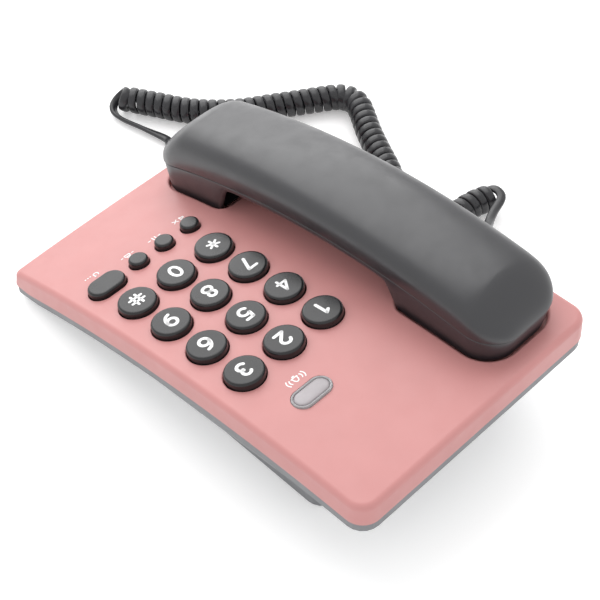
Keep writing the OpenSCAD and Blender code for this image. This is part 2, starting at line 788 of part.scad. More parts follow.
module keypad_mat() {
    color([0.75, 0.74, 0.7]) difference() {
        union() {
            on_pad(0, 0)
                translate([mat_left, mat_front, -board_depth + seat])
                    cube([mat_right - mat_left, mat_rear - mat_front, mat_h]);
            for (p = number_places)
                on_pad(p.x, p.y)
                    translate([0, 0, -board_depth + seat])
                        cylinder(r = stem_r + stem_gap + collar_w, h = mat_h + collar_h);
            for (p = small_places)
                on_pad(p.x, p.y)
                    translate([0, 0, -board_depth + seat])
                        cylinder(r = small_stem_r + stem_gap + collar_w, h = mat_h + collar_h);
            on_pad(redial_u, redial_v)
                translate([0, 0, -board_depth + seat])
                    cylinder(r = stem_r + stem_gap + collar_w, h = mat_h + collar_h);
        }
        for (p = concat(number_places, [[redial_u, redial_v]]))
            on_pad(p.x, p.y)
                translate([0, 0, -board_depth])
                    cylinder(r = stem_r + stem_gap, h = 4);
        for (p = small_places)
            on_pad(p.x, p.y)
                translate([0, 0, -board_depth])
                    cylinder(r = small_stem_r + stem_gap, h = 4);
        for (p = post_places)
            on_pad(p.x, p.y)
                translate([0, 0, -board_depth])
                    cylinder(r = post_r + 0.4, h = 4);
    }
}

module main_board() {
    color(board_green) difference() {
        on_pad(mat_left - board_margin, board_front_v)
            translate([0, 0, -board_depth - board_h])
                cube([mat_right - mat_left + 2 * board_margin, board_rear_v - board_front_v, board_h]);
        for (p = post_places)
            on_pad(p.x, p.y)
                translate([0, 0, -board_depth - board_h - 1])
                    cylinder(r = small_screw_r + screw_gap, h = board_h + 2);
    }
}
module board_screws() {
    color("silver") for (p = post_places)
        on_pad(p.x, p.y)
            translate([0, 0, -board_depth - board_h - seat])
                screw(small_screw_r, board_h + board_screw_bite, small_head_r, small_head_h);
}

lens_rise = 0.8;
module lamp_lens() {
    sag = deck_sag(lamp_v);
    color([0.9, 0.9, 0.92]) on_pad(lamp_u, lamp_v)
        translate([0, 0, sag]) {
            translate([0, 0, -wall - lens_drop])
                stadium(lamp_l, lamp_w, wall + lens_drop + 0.3);
            stadium(lamp_l - 2, lamp_w - 2, lens_rise);
            translate([0, 0, -wall - lens_drop - flange_h])
                stadium(lamp_l + 2, lamp_w + 2, flange_h);
        }
}
led_r = 1.3;
module lamp_led() {
    top = deck_sag(lamp_v) - wall - lens_drop - flange_h - 0.3;
    color([0.85, 0.3, 0.25]) on_pad(lamp_u, lamp_v) {
        translate([0, 0, -board_depth + seat])
            cylinder(r = led_r, h = top + board_depth - seat - led_r);
        translate([0, 0, top - led_r])
            sphere(r = led_r);
        translate([0, 0, -board_depth + seat])
            cylinder(r = led_r + 0.4, h = 0.8);
    }
}

module base_jack() {
    color(key_grey) translate([jack_front_x, base_jack_y, base_jack_z])
        jack_block(handset_plug_w, handset_plug_h, base_jack_l);
}
module line_jack() {
    color(key_grey) translate([jack_front_x, line_jack_y, line_jack_z])
        jack_block(line_plug_w, line_plug_h, line_jack_l);
}

module hook_plunger() {
    stem_end_z = hook_platform_z + hook_switch_h + rest_gap;
    color(key_grey) translate([hs_x, hook_y, 0]) {
        translate([0, 0, hook_flange_z])
            tongue(0, hook_top_z - hook_flange_z);
        translate([0, 0, hook_flange_z - hook_flange_h])
            tongue(2, hook_flange_h);
        translate([0, 0, stem_end_z])
            cylinder(r = 2, h = hook_flange_z - hook_flange_h - stem_end_z + eps);
    }
}
module hook_switch() {
    color([0.2, 0.25, 0.4]) translate([hs_x, hook_y, hook_platform_z + seat]) {
        translate([-6.5, -4, 0])
            cube([13, 8, hook_switch_h - 1]);
        cylinder(r = 1.8, h = hook_switch_h - seat);
    }
}

module handset_top_shell() {
    color(handset_grey) translate([hs_x, 0, 0])
        difference() {
            union() {
                difference() {
                    skin(concat(
                        [part_ring(0, part_gap / 2)],
                        [for (part = [0.985, 0.955, 0.9, 0.82, 0.68, 0.45, 0.2]) dome_ring(0, part)]
                    ));
                    skin(concat(
                        [part_ring(hs_wall, -1), part_ring(hs_wall, 0.2)],
                        [for (part = [0.97, 0.9, 0.75, 0.5, 0.2]) dome_ring(hs_wall, part)]
                    ));
                }
                for (y = hs_screw_ys)
                    translate([0, y, part_line(y) + 0.4])
                        cylinder(r = hs_boss_r, h = crown(y) - hs_wall);
            }
            for (y = hs_screw_ys)
                translate([0, y, part_line(y) - 1])
                    cylinder(r = small_screw_r + pilot_gap, h = 8);
        }
}

module handset_bottom_shell() {
    ear_holes = [[0, 0], for (k = [0:5]) [6 * cos(60 * k), 6 * sin(60 * k)]];
    mic_holes = [[-5, 0], [0, 0], [5, 0]];
    color(handset_grey) difference() {
        union() {
            translate([hs_x, 0, 0])
                difference() {
                    skin([
                        under_ring(under_inset + 3, 0, lobe_draft),
                        under_ring(under_inset + 0.9, 0.9, lobe_draft),
                        under_ring(under_inset + 0.1, 2.6, lobe_draft),
                        part_ring(under_inset, -part_gap / 2)
                    ]);
                    skin([
                        under_ring(under_inset + hs_wall + 2.4, hs_wall, lobe_draft, -1.6),
                        under_ring(under_inset + hs_wall, hs_wall + 1.6, lobe_draft, -1.6),
                        part_ring(under_inset + hs_wall, 1)
                    ]);
                }
            for (y = hs_screw_ys)
                translate([hs_x, y, part_line(y) - handle_depth + 1])
                    cylinder(r = hs_boss_r, h = handle_depth - 1 - part_gap);
            on_mouth_jack()
                translate([hs_jack_front, -3, -handset_plug_h / 2 - jack_plug_gap - jack_wall - 3])
                    cube([6, 6, 3 - seat]);
        }
        for (y = hs_screw_ys)
            translate([hs_x, y, part_line(y) - handle_depth - 2]) {
                cylinder(r = small_screw_r + screw_gap, h = handle_depth + 3);
                cylinder(r = small_head_r + screw_gap, h = 4);
            }
        for (p = ear_holes)
            in_lobe(ear_y)
                translate([p.x, p.y, -2 * hs_wall])
                    cylinder(r = 1.1, h = 3 * hs_wall, $fn = 24);
        for (p = mic_holes)
            in_lobe(mic_y)
                translate([p.x, p.y, -2 * hs_wall])
                    cylinder(r = 1, h = 3 * hs_wall, $fn = 24);
        on_mouth_jack()
            translate([-12, 0, 0])
                socket(handset_plug_w, handset_plug_h, 12 + hs_jack_front + 1);
    }
}

module ear_capsule() {
    color("silver") in_lobe(ear_y)
        translate([0, 0, seat])
            difference() {
                cylinder(r = ear_capsule_r, h = ear_capsule_h);
                translate([0, 0, -eps])
                    cylinder(r = ear_capsule_r - 3, h = 1);
                translate([0, 0, ear_capsule_h - 2])
                    difference() {
                        cylinder(r = ear_capsule_r + 1, h = 3);
                        cylinder(r = ear_capsule_r - 4, h = 3);
                    }
            }
}
module mic_capsule() {
    color(key_grey) in_lobe(mic_y)
        translate([0, 0, seat])
            difference() {
                cylinder(r = mic_capsule_r, h = mic_capsule_h);
                translate([0, 0, -eps])
                    cylinder(r = mic_capsule_r - 4, h = 1.5);
            }
}
module handset_weight() {
    color("silver") translate([hs_x, 0, part_line(0) - handle_depth + hs_wall / cos(part_slope(0)) + seat])
        rotate([part_slope(0), 0, 0])
            translate([-weight_w / 2, -weight_l / 2, 0])
                cube([weight_w, weight_l, weight_h]);
}
module handset_jack() {
    color(key_grey) on_mouth_jack()
        translate([hs_jack_front, 0, 0])
            jack_block(handset_plug_w, handset_plug_h, hs_jack_l);
}
module handset_screws() {
    color("silver") for (y = hs_screw_ys)
        translate([hs_x, y, part_line(y) - handle_depth + 2 - seat])
            screw(small_screw_r, 7, small_head_r, small_head_h);
}

// Cord plugs, tails and coil
module plug(l) {
    color([0.1, 0.1, 0.1]) translate([0, -handset_plug_w / 2, -handset_plug_h / 2])
        cube([l, handset_plug_w, handset_plug_h]);
}
module handset_plug() {
    on_mouth_jack()
        translate([hs_plug_end, 0, 0])
            plug(hs_plug_l);
}
module base_plug() {
    translate(base_plug_face)
        plug(plug_l);
}
module cord_tail_handset() {
    color(cord_grey) tube(concat(mouth_tail_start, mouth_tail_route, [coil_points[0]]), cord_w / 2, 8);
}
module cord_coil() {
    color(cord_grey) tube(coil_points, coil_d / 2, 12);
}
module cord_tail_base() {
    last = coil_points[len(coil_points) - 1];
    straight = [for (d = [tail_straight, tail_gap]) base_plug_face - [d, 0, 0]];
    color(cord_grey) tube(concat([last], base_tail_route, straight), cord_w / 2, 8);
}

upper_cover();
lower_cover();
desk_stand();
rubber_feet();
case_screws();
number_key(-1, 2);  // key_1
number_key(0, 2);  // key_2
number_key(1, 2);  // key_3
number_key(-1, 1);  // key_4
number_key(0, 1);  // key_5
number_key(1, 1);  // key_6
number_key(-1, 0);  // key_7
number_key(0, 0);  // key_8
number_key(1, 0);  // key_9
number_key(-1, -1);  // key_star
number_key(0, -1);  // key_0
number_key(1, -1);  // key_hash
small_key(0);  // key_mute
small_key(1);  // key_pause
small_key(2);  // key_hold
redial_key();  // key_redial
keypad_mat();
main_board();
board_screws();
lamp_lens();
lamp_led();
sounder();
ballast_weight();
line_jack();
base_jack();
hook_plunger();
hook_switch();
handset_top_shell();
handset_bottom_shell();
ear_capsule();
mic_capsule();
handset_weight();
handset_jack();
handset_screws();
handset_plug();
base_plug();
cord_tail_handset();
cord_coil();
cord_tail_base();
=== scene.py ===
"""Corded desk telephone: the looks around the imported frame.

Metres. +X is the user's right, +Y points away from the user, +Z is up.
Shapes are written in millimetres and scaled by MM.
"""

import math

import bmesh
import bpy
import numpy as np
from mathutils import Matrix, Vector
from mathutils.bvhtree import BVHTree


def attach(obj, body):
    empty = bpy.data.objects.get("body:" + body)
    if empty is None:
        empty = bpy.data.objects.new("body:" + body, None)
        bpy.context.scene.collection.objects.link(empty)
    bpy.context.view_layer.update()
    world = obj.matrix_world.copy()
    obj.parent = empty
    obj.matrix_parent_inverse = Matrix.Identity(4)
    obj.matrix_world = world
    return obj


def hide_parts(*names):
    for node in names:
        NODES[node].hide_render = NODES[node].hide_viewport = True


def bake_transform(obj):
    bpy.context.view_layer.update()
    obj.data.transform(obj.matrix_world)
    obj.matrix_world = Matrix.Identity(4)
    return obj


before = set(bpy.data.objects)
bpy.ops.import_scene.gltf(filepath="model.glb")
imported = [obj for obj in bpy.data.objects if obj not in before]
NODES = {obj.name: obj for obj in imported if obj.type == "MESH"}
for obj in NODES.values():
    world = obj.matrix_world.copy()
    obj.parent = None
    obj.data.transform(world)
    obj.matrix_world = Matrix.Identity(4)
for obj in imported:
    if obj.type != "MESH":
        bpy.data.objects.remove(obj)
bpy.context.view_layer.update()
MM = 0.001

# ---------------------------------------------------------------- image points
# Pixel places in the photograph's 600 x 600 frame.
IMAGE = 600
POINTS = {
    "key_star": (213, 246.5),
    "key_hash": (137.5, 302),
    "key_1": (322.5, 311),
    "key_3": (245, 371.5),
    "key_mute": (188.5, 224.5),
    "key_hold": (138.5, 261),
    "key_redial": (107.3, 284.6),
    "key_5": (246.5, 316),
    "key_0": (176, 273.5),
    "lamp": (311, 389.6),
    "mute_mark": (178, 220.2),
    "pause_mark": (154.3, 238.3),
    "hold_mark": (128, 256),
    "redial_mark": (92.7, 276.6),
    "ringer_mark": (295.5, 379),
}

# ---------------------------------------------------------------- camera
CAMERA_AT = Vector((0.2621, 0.2980, 0.4922))
CAMERA_RIGHT = Vector((-0.7118, 0.7015, -0.0340)).normalized()
CAMERA_UP = Vector((-0.5497, -0.5264, 0.6486))
LENS = 88.51
SENSOR = 36
camera_back = CAMERA_RIGHT.cross(CAMERA_UP).normalized()
camera_up = camera_back.cross(CAMERA_RIGHT)
camera_data = bpy.data.cameras.new("camera")
camera_data.lens = LENS
camera_data.sensor_width = SENSOR
camera_data.sensor_fit = "AUTO"
camera_data.clip_start = 0.05
camera = bpy.data.objects.new("camera", camera_data)
axes = Matrix((CAMERA_RIGHT, camera_up, camera_back)).transposed()
camera.matrix_world = Matrix.Translation(CAMERA_AT) @ axes.to_4x4()
bpy.context.scene.collection.objects.link(camera)
bpy.context.scene.camera = camera


def to_pixel(p):
    """Where a point of the row frame shows, in pixels of the photograph."""
    v = axes.transposed() @ (Vector(p) - CAMERA_AT)
    s = IMAGE * LENS / SENSOR / -v.z
    return IMAGE / 2 + v.x * s, IMAGE / 2 - v.y * s


def on_surface(point, tree):
    """The place on a carrier's surface that shows at an image point."""
    x, y = point
    ray = axes @ Vector((x - IMAGE / 2, IMAGE / 2 - y, -IMAGE * LENS / SENSOR))
    ray.normalize()
    hit, normal, _, _ = tree.ray_cast(CAMERA_AT, ray)
    if hit is None:
        middle = CAMERA_AT + ray * CAMERA_AT.length
        hit, normal, _, _ = tree.find_nearest(middle)
    return hit, normal


# ---------------------------------------------------------------- mesh helpers
def new_object(name, verts, faces, angle=40):
    """A mesh piece in metres, from points in millimetres, smooth up to an angle."""
    mesh = bpy.data.meshes.new(name)
    mesh.from_pydata([(x * MM, y * MM, z * MM) for x, y, z in verts], [], faces)
    mesh.validate()
    smooth(mesh, angle)
    obj = bpy.data.objects.new(name, mesh)
    bpy.context.scene.collection.objects.link(obj)
    return obj


def smooth(mesh, angle=40):
    """Smooth shading, but for edges sharper than an angle in degrees."""
    mesh.shade_smooth()
    mesh.set_sharp_from_angle(angle=math.radians(angle))


def catmull(points, step):
    """Points of one smooth curve through the given ones, about a step apart."""
    points = np.array(points, float)
    ends = np.vstack([2 * points[0] - points[1], points, 2 * points[-1] - points[-2]])
    out = []
    for i in range(len(points) - 1):
        p0, p1, p2, p3 = ends[i : i + 4]
        n = max(2, round(np.linalg.norm(p2 - p1) / step))
        for t in np.arange(n) / n:
            out.append(
                0.5
                * (
                    2 * p1
                    + (p2 - p0) * t
                    + (2 * p0 - 5 * p1 + 4 * p2 - p3) * t**2
                    + (3 * p1 - p0 - 3 * p2 + p3) * t**3
                )
            )
    out.append(points[-1])
    return np.array(out)


def distances(points):
    """How far along a polyline each of its points is."""
    return np.concatenate([[0], np.cumsum(np.linalg.norm(np.diff(points, axis=0), axis=1))])


def at_distance(s, walked, points):
    """The place on a polyline at a distance along it."""
    return np.array([np.interp(s, walked, points[:, k]) for k in range(points.shape[1])])


def along(points):
    """Unit tangents of a polyline."""
    t = np.gradient(points, axis=0)
    return t / np.linalg.norm(t, axis=1)[:, None]


def section(half_w, half_h, sides, power):
    """Points of a superellipse, a flat cord's cross-section."""
    out = []
    for k in range(sides):
        a = 2 * math.pi * (k + 0.5) / sides
        c, s = math.cos(a), math.sin(a)
        out.append(
            (
                half_w * math.copysign(abs(c) ** (2 / power), c),
                half_h * math.copysign(abs(s) ** (2 / power), s),
            )
        )
    return out


def walls(rings, n):
    """The faces between neighbouring rings of n vertices each."""
    return [
        (k * n + i, k * n + (i + 1) % n, (k + 1) * n + (i + 1) % n, (k + 1) * n + i)
        for k in range(rings - 1)
        for i in range(n)
    ]


def sweep(points, normals, ring, scales=None):
    """Vertices and faces of a section swept along points, closed at both ends."""
    tangents = along(points)
    n, m = len(points), len(ring)
    verts = []
    for i in range(n):
        up = normals[i] - tangents[i] * np.dot(normals[i], tangents[i])
        up /= np.linalg.norm(up)
        side = np.cross(tangents[i], up)
        k = 1 if scales is None else scales[i]
        verts += [points[i] + k * (a * side + b * up) for a, b in ring]
    faces = walls(n, m)
    faces.append(tuple(range(m)))
    faces.append(tuple((n - 1) * m + k for k in reversed(range(m))))
    return verts, faces


def merged(*shapes):
    """Several (vertices, faces) as one."""
    verts, faces = [], []
    for v, f in shapes:
        faces += [tuple(i + len(verts) for i in face) for face in f]
        verts += [tuple(p) for p in v]
    return verts, faces


def moved(shape, place):
    """A shape with each vertex put where place(x, y, z) says."""
    return [place(*p) for p in shape[0]], shape[1]


def corner(cx, cy, r, start, steps=12):
    """A quarter circle that begins at an angle in degrees."""
    angles = [math.radians(start + 90 * i / steps) for i in range(steps + 1)]
    return [(cx + r * math.cos(a), cy + r * math.sin(a)) for a in angles]


def spaced(a, b, n):
    """The n - 1 places that divide a to b into n equal steps."""
    return [a + (b - a) * i / n for i in range(1, n)]


def half_outline(hw, ya, yb, ra, rb, ys, bow=0):
    """The right half of a rounded rectangle, from its front edge to its rear edge."""
    front = [
        ((hw - ra) * t, ya - bow * (1 - t * t)) for t in (0.06, 0.25, 0.45, 0.65, 0.85)
    ]
    front += corner(hw - ra, ya + ra, ra, -90)
    rear = corner(hw - rb, yb - rb, rb, 0)
    rear += [((hw - rb) * t, yb) for t in (0.75, 0.4, 0.06)]
    return front + [(hw, y) for y in ys] + rear


# Two points of a half ring nearer than this in Y are level with each other.
LEVEL = 1e-7


def lofted(halves):
    """A closed skin through half rings, each mirrored about X = 0, lowest first.

    The two ends are closed by faces across. Points level with the first or the last
    one share a face, because a face without area leaves a boolean with open edges.
    """
    m = len(halves[0])
    n = 2 * m
    verts = [p for h in halves for p in [*h, *((-x, y, z) for x, y, z in reversed(h))]]
    faces = []
    for first, half in ((0, halves[0]), ((len(halves) - 1) * n, halves[-1])):
        level = [abs(a[1] - b[1]) < LEVEL for a, b in zip(half, half[1:])]
        low = level.index(False)
        high = m - 1 - level[::-1].index(False)
        middle = ((i, i + 1) for i in range(low + 1, high - 1))
        for a, b in ((0, low + 1), *middle, (high - 1, m - 1)):
            face = [*range(a, b + 1), *range(n - 1 - b, n - a)]
            faces.append(tuple(first + i for i in (face if first else reversed(face))))
    return verts, faces + walls(len(halves), n)


def lathed(profile, sides=48):
    """A closed body of revolution about Z, from (radius, height) pairs, lowest first."""
    return stadium([(r, r, z) for r, z in profile], sides)


def stadium(rings, sides=48):
    """A closed skin through stadiums of (half length, half width, height), lowest first."""
    verts = []
    for hl, hw, z in rings:
        for i in range(sides):
            a = 2 * math.pi * (i + 0.5) / sides
            x = hw * math.cos(a) + math.copysign(hl - hw, math.cos(a))
            verts.append((x, hw * math.sin(a), z))
    top = (len(rings) - 1) * sides
    ends = [tuple(reversed(range(sides))), tuple(range(top, top + sides))]
    return verts, walls(len(rings), sides) + ends


def boolean(obj, shape, operation="DIFFERENCE"):
    """Cuts a shape out of a piece, or joins it on."""
    tool = new_object("tool", *shape)
    step = obj.modifiers.new("step", "BOOLEAN")
    step.operation = operation
    step.solver = "EXACT"
    step.object = tool
    depsgraph = bpy.context.evaluated_depsgraph_get()
    result = bpy.data.meshes.new_from_object(obj.evaluated_get(depsgraph))
    obj.modifiers.clear()
    obj.data = result
    bpy.data.objects.remove(tool)


# ---------------------------------------------------------------- shape of the phone
# The same sizes and curves as part.scad, drawn with more points. Y runs from the
# base's front edge at -HALF_L to its rear edge at HALF_L.
BASE_W, BASE_L, COVER_H = 128, 214, 10.8
HALF_L = BASE_L / 2
SEAM_FRONT, SEAM_REAR, NOSE_SEAM, NOSE_BLEND = 4.3, 41.7, 8.1, 0.5
ARCH_R = ((SEAM_REAR - SEAM_FRONT) ** 2 + BASE_L**2) / 2 / (SEAM_REAR - SEAM_FRONT)
FRONT_R, REAR_R, FRONT_BOW, NOSE_BOW = 4, 8.5, 1.5, 0.4
EDGE_R, LEAST_R, WALL = 2.6, 0.5, 2.4
PAD_X, PAD_Y = 0.2049 * BASE_W, -0.0174 * BASE_L
PITCH_X, PITCH_Y = 0.1641 * BASE_W, 0.1023 * BASE_L
KEY_R, SMALL_R, REDIAL_R, REDIAL_L = 8.35, 4.3, 5.6, 17.6
KEY_GAP, KEY_RIM, KEY_RISE = 0.35, 0.5, 3
SMALL_U, SMALL_V, SMALL_PITCH = -1.2286 * PITCH_X, -2.508 * PITCH_Y, 0.689 * PITCH_X
REDIAL_U, REDIAL_V = 1.0143 * PITCH_X, SMALL_V + 1.1
LAMP_U, LAMP_V = 0.5045 * PITCH_X, 2.667 * PITCH_Y
LAMP_L, LAMP_W, LAMP_GAP = 18.5, 10, 0.1
HS_X, HS_W, HS_WALL, HS_END_R = -0.2836 * BASE_W, 44.6, 2, 15
HS_FRONT, HS_REAR = -HALF_L + 6.6, HALF_L - 8.8
MOUTH_FLAT, EAR_FLAT, RAMP = HS_FRONT + 42, HS_REAR - 48, 9
PART_Z, PART_Y, PART_DROP, PART_GAP = 65.7, HALF_L - 55, 33.8, 0.2
PART_R = (PART_Y - HS_FRONT) ** 2 / 2 / PART_DROP
CROWN = (17.4, 13.7, 13)
CROWN_FADE, CROWN_POWER, FADE_POWER = 18.5, 2.83, 1.5
HANDLE_DEPTH, LOBE_SINK, UNDER_INSET, LOBE_DRAFT = 5, 3.7, 0.5, 1.5
LOBE_INSET, LOBE_CLEAR, LOBE_END_R = UNDER_INSET + LOBE_DRAFT, 4, 5
WELL_GAP, WELL_FLARE, WELL_DEPTH = 0.8, 1.5, LOBE_SINK + 0.3
HOOK_Y, HOOK_HALF_W, HOOK_HALF_L, HOOK_R = HS_REAR - 40.2, 5.3, 2.8, 1.8
EAR_Y, EAR_HOLE_R, EAR_RING = HS_REAR - 24.2, 1.1, 6
MIC_Y, MIC_HOLE_R, MIC_STEP = HS_FRONT + 27.4, 1, 5
SCREW_YS = (MOUTH_FLAT + 20.4, EAR_FLAT - 17.2)
# (radius, height) steps of the recess for a handset screw and of the hole above it.
SCREW_WELL = ((2.2, -2), (2.2, 2), (1.2, 2), (1.2, 4.5))
# How far the tools that cut and hollow the pieces reach past their skins.
PAST, HOLE_REACH, CUT_LOW, CUT_HIGH, HOOK_LOW, HOOK_HIGH = 1, 4, -9, 2, -12, -2


def arch_z(y):
    """Height of the arch that the cover stands on."""
    return SEAM_REAR - ARCH_R + math.sqrt(ARCH_R**2 - (HALF_L - y) ** 2)


def deck_z(y):
    """Height of the cover's top."""
    return arch_z(y) + COVER_H


def seam_z(y):
    """Height of the seam: the arch's, but never under the nose's."""
    above = (arch_z(y) - NOSE_SEAM) / 2
    return NOSE_SEAM + above + math.hypot(above, NOSE_BLEND)


def sag(v):
    """How far the deck falls away from the keypad's tangent plane."""
    return math.sqrt(ARCH_R**2 - v * v) - ARCH_R


PAD_TILT = math.asin((HALF_L - PAD_Y) / ARCH_R)


def on_pad(u, v, w):
    """A place on the keypad's tangent frame, in millimetres of the row frame."""
    c, s = math.cos(PAD_TILT), math.sin(PAD_TILT)
    return (PAD_X + u, PAD_Y + v * c - w * s, deck_z(PAD_Y) + v * s + w * c)


def key_place(col, row):
    """A number key's place on the keypad, by column and row from the middle one."""
    return col * PITCH_X, (row - 0.5) * PITCH_Y


KEYS = {
    "key_1": key_place(-1, 2), "key_2": key_place(0, 2), "key_3": key_place(1, 2),
    "key_4": key_place(-1, 1), "key_5": key_place(0, 1), "key_6": key_place(1, 1),
    "key_7": key_place(-1, 0), "key_8": key_place(0, 0), "key_9": key_place(1, 0),
    "key_star": key_place(-1, -1), "key_0": key_place(0, -1), "key_hash": key_place(1, -1),
    "key_mute": (SMALL_U, SMALL_V), "key_pause": (SMALL_U + SMALL_PITCH, SMALL_V),
    "key_hold": (SMALL_U + 2 * SMALL_PITCH, SMALL_V), "key_redial": (REDIAL_U, REDIAL_V),
}
SMALL_KEYS = ("key_mute", "key_pause", "key_hold")


def lamp_place(x, y, z):
    """A place around the lamp's middle, over the deck."""
    return on_pad(x + LAMP_U, y + LAMP_V, z + sag(LAMP_V))


def lamp_shape(steps):
    """The lamp's outline through (growth, height) steps."""
    rings = [(LAMP_L / 2 + g, LAMP_W / 2 + g, h) for g, h in steps]
    return moved(stadium(rings), lamp_place)


def clamped(v, low, high):
    return min(max(v, low), high)


def part_line(y):
    """Height of the line where the handset's two shells meet."""
    return PART_Z - (y - PART_Y) ** 2 / 2 / PART_R


def crown(y):
    """Height of the handset's top over its parting line, along its middle."""
    s = (y - HS_FRONT) / (HS_REAR - HS_FRONT)
    a, b, c = CROWN
    return a * (1 - s) * (1 - 2 * s) + 4 * b * s * (1 - s) + c * s * (2 * s - 1)


def end_distance(y, inset):
    """How far a place is from the nearer end of the handset."""
    return min(y - HS_FRONT, HS_REAR - y) - inset


def dome_z(x, y, inset):
    """Height of the handset's top skin."""
    t = clamped(1 - end_distance(y, inset) / CROWN_FADE, 0, 1)
    fade = (1 - t**FADE_POWER) ** (1 / FADE_POWER)
    r = HS_END_R - inset
    d = clamped(end_distance(y, inset), 0, r)
    width = HS_W / 2 - inset - r + math.sqrt(r * r - (r - d) ** 2)
    u = clamped(abs(x) / max(width, 1e-6), 0, 1)
    return part_line(y) + (crown(y) - inset) * fade * (1 - u**CROWN_POWER) ** (1 / CROWN_POWER)


def handset_half(inset):
    """Half of the handset's outline from above."""
    stops = (
        HS_FRONT + HS_END_R, MOUTH_FLAT, MOUTH_FLAT + RAMP, EAR_FLAT - RAMP, EAR_FLAT,
        HS_REAR - HS_END_R,
    )
    ys = []
    for a, b, n in zip(stops, stops[1:], (8, 8, 24, 8, 8)):
        ys += spaced(a, b, n)
    end_r = HS_END_R - inset
    return half_outline(HS_W / 2 - inset, HS_FRONT + inset, HS_REAR - inset, end_r, end_r, ys)


def dome_ring(inset, part):
    """A ring of the top skin: the outline drawn in to a part of its size."""
    out = []
    for x, y in handset_half(inset):
        middle = clamped(y, HS_FRONT + CROWN_FADE, HS_REAR - CROWN_FADE)
        px, py = x * part, middle + (y - middle) * part
        out.append((px, py, dome_z(px, py, inset)))
    return out


def part_ring(inset, rise):
    """The handset's outline at a height over the parting line."""
    return [(x, y, part_line(y) + rise) for x, y in handset_half(inset)]


def eased(t):
    """0 to 1, level at both ends."""
    c = clamped(t, 0, 1)
    return c * c * (3 - 2 * c)


def lobe_share(y, shift):
    """1 in the handset's lobes, 0 under its handle."""
    return 1 - eased((y - MOUTH_FLAT + shift) / RAMP) * eased((EAR_FLAT - y + shift) / RAMP)


def under_ring(inset, rise, shift=0):
    """The handset's outline at a height over its underside."""
    out = []
    for x, y in handset_half(inset):
        d = LOBE_DRAFT * lobe_share(y, 0)
        at_mouth = clamped((HS_FRONT + HS_END_R - y) / HS_END_R, 0, 1)
        at_ear = clamped((y - HS_REAR + HS_END_R) / HS_END_R, 0, 1)
        py = y + d * (at_mouth - at_ear)
        h = part_line(py) - HANDLE_DEPTH
        z = h - lobe_share(py, shift) * (h - deck_z(py) + LOBE_SINK)
        out.append((x * (1 - 2 * d / HS_W), py, z + rise))
    return out


def base_half(inset, bow=FRONT_BOW):
    """Half of the base's outline from above."""
    ys = spaced(-HALF_L + REAR_R, HALF_L - REAR_R, 60)
    return half_outline(
        BASE_W / 2 - inset, -HALF_L + bow + inset, HALF_L - inset,
        max(FRONT_R - inset, LEAST_R), max(REAR_R - inset, LEAST_R), ys, bow,
    )


def over_seam(inset, h):
    """The cover's outline at a height over the seam."""
    return [(x, y, seam_z(y) + h) for x, y in base_half(inset, NOSE_BOW)]


def over_arch(inset, h):
    """The cover's outline at a height over the arch."""
    return [(x, y, arch_z(y) + h) for x, y in base_half(inset)]


def over_deck(half, h):
    """An outline at a height over the deck."""
    return [(x, y, deck_z(y) + h) for x, y in half]


def mouth_half(grow):
    """Half of the mouth lobe's outline, grown."""
    ys = spaced(HS_FRONT + HS_END_R, MOUTH_FLAT + LOBE_CLEAR - LOBE_END_R, 10)
    return half_outline(
        HS_W / 2 - LOBE_INSET + grow, HS_FRONT + LOBE_INSET - grow, MOUTH_FLAT + LOBE_CLEAR + grow,
        HS_END_R - LOBE_INSET + grow, LOBE_END_R + grow, ys,
    )


def ear_half(grow):
    """Half of the ear lobe's outline, grown."""
    ys = spaced(EAR_FLAT - LOBE_CLEAR + LOBE_END_R, HS_REAR - HS_END_R, 10)
    return half_outline(
        HS_W / 2 - LOBE_INSET + grow, EAR_FLAT - LOBE_CLEAR - grow, HS_REAR - LOBE_INSET + grow,
        LOBE_END_R + grow, HS_END_R - LOBE_INSET + grow, ys,
    )


def over_handset(x, y, z):
    """A place beside the handset's middle line, in the row frame."""
    return x + HS_X, y, z


# How far round a rounded rim goes, in degrees, and how far out its cutter then runs,
# as a share of the rim's radius.
RIM_ANGLE, RIM_OUT = 80, 0.86


def rimmed(gap, r, low, high, steps=6):
    """(growth, height) steps of a cutter that leaves a gap and a rounded rim."""
    angles = [math.radians(RIM_ANGLE * i / steps) for i in range(steps + 1)]
    rim = [(gap + r * (1 - math.cos(a)), r * (math.sin(a) - 1)) for a in angles]
    return [(gap, low), *rim, (gap + r * RIM_OUT, high)]


def well(half, steps):
    """A shape around a lobe, through (growth, height over the deck) steps."""
    return moved(lofted([over_deck(half(grow), h) for grow, h in steps]), over_handset)


# ---------------------------------------------------------------- the cord
CORD_W = 4.2
CORD_H = 2.3
CORD_SIDES, CORD_POWER = 14, 2.6
COIL_R = 6.4
COIL_TURNS = 52.5
COIL_Z = 6.6
TURN_POINTS = 18
# The first turns, by the handset: how loose they are, which way the very first one
# faces, and over what share of the coil that fades out.
LOOSE = 0.012
FIRST_TURN = (-0.12, 0.8, -0.58)
FIRST_SHARE, FIRST_POWER = 0.032, 1.5
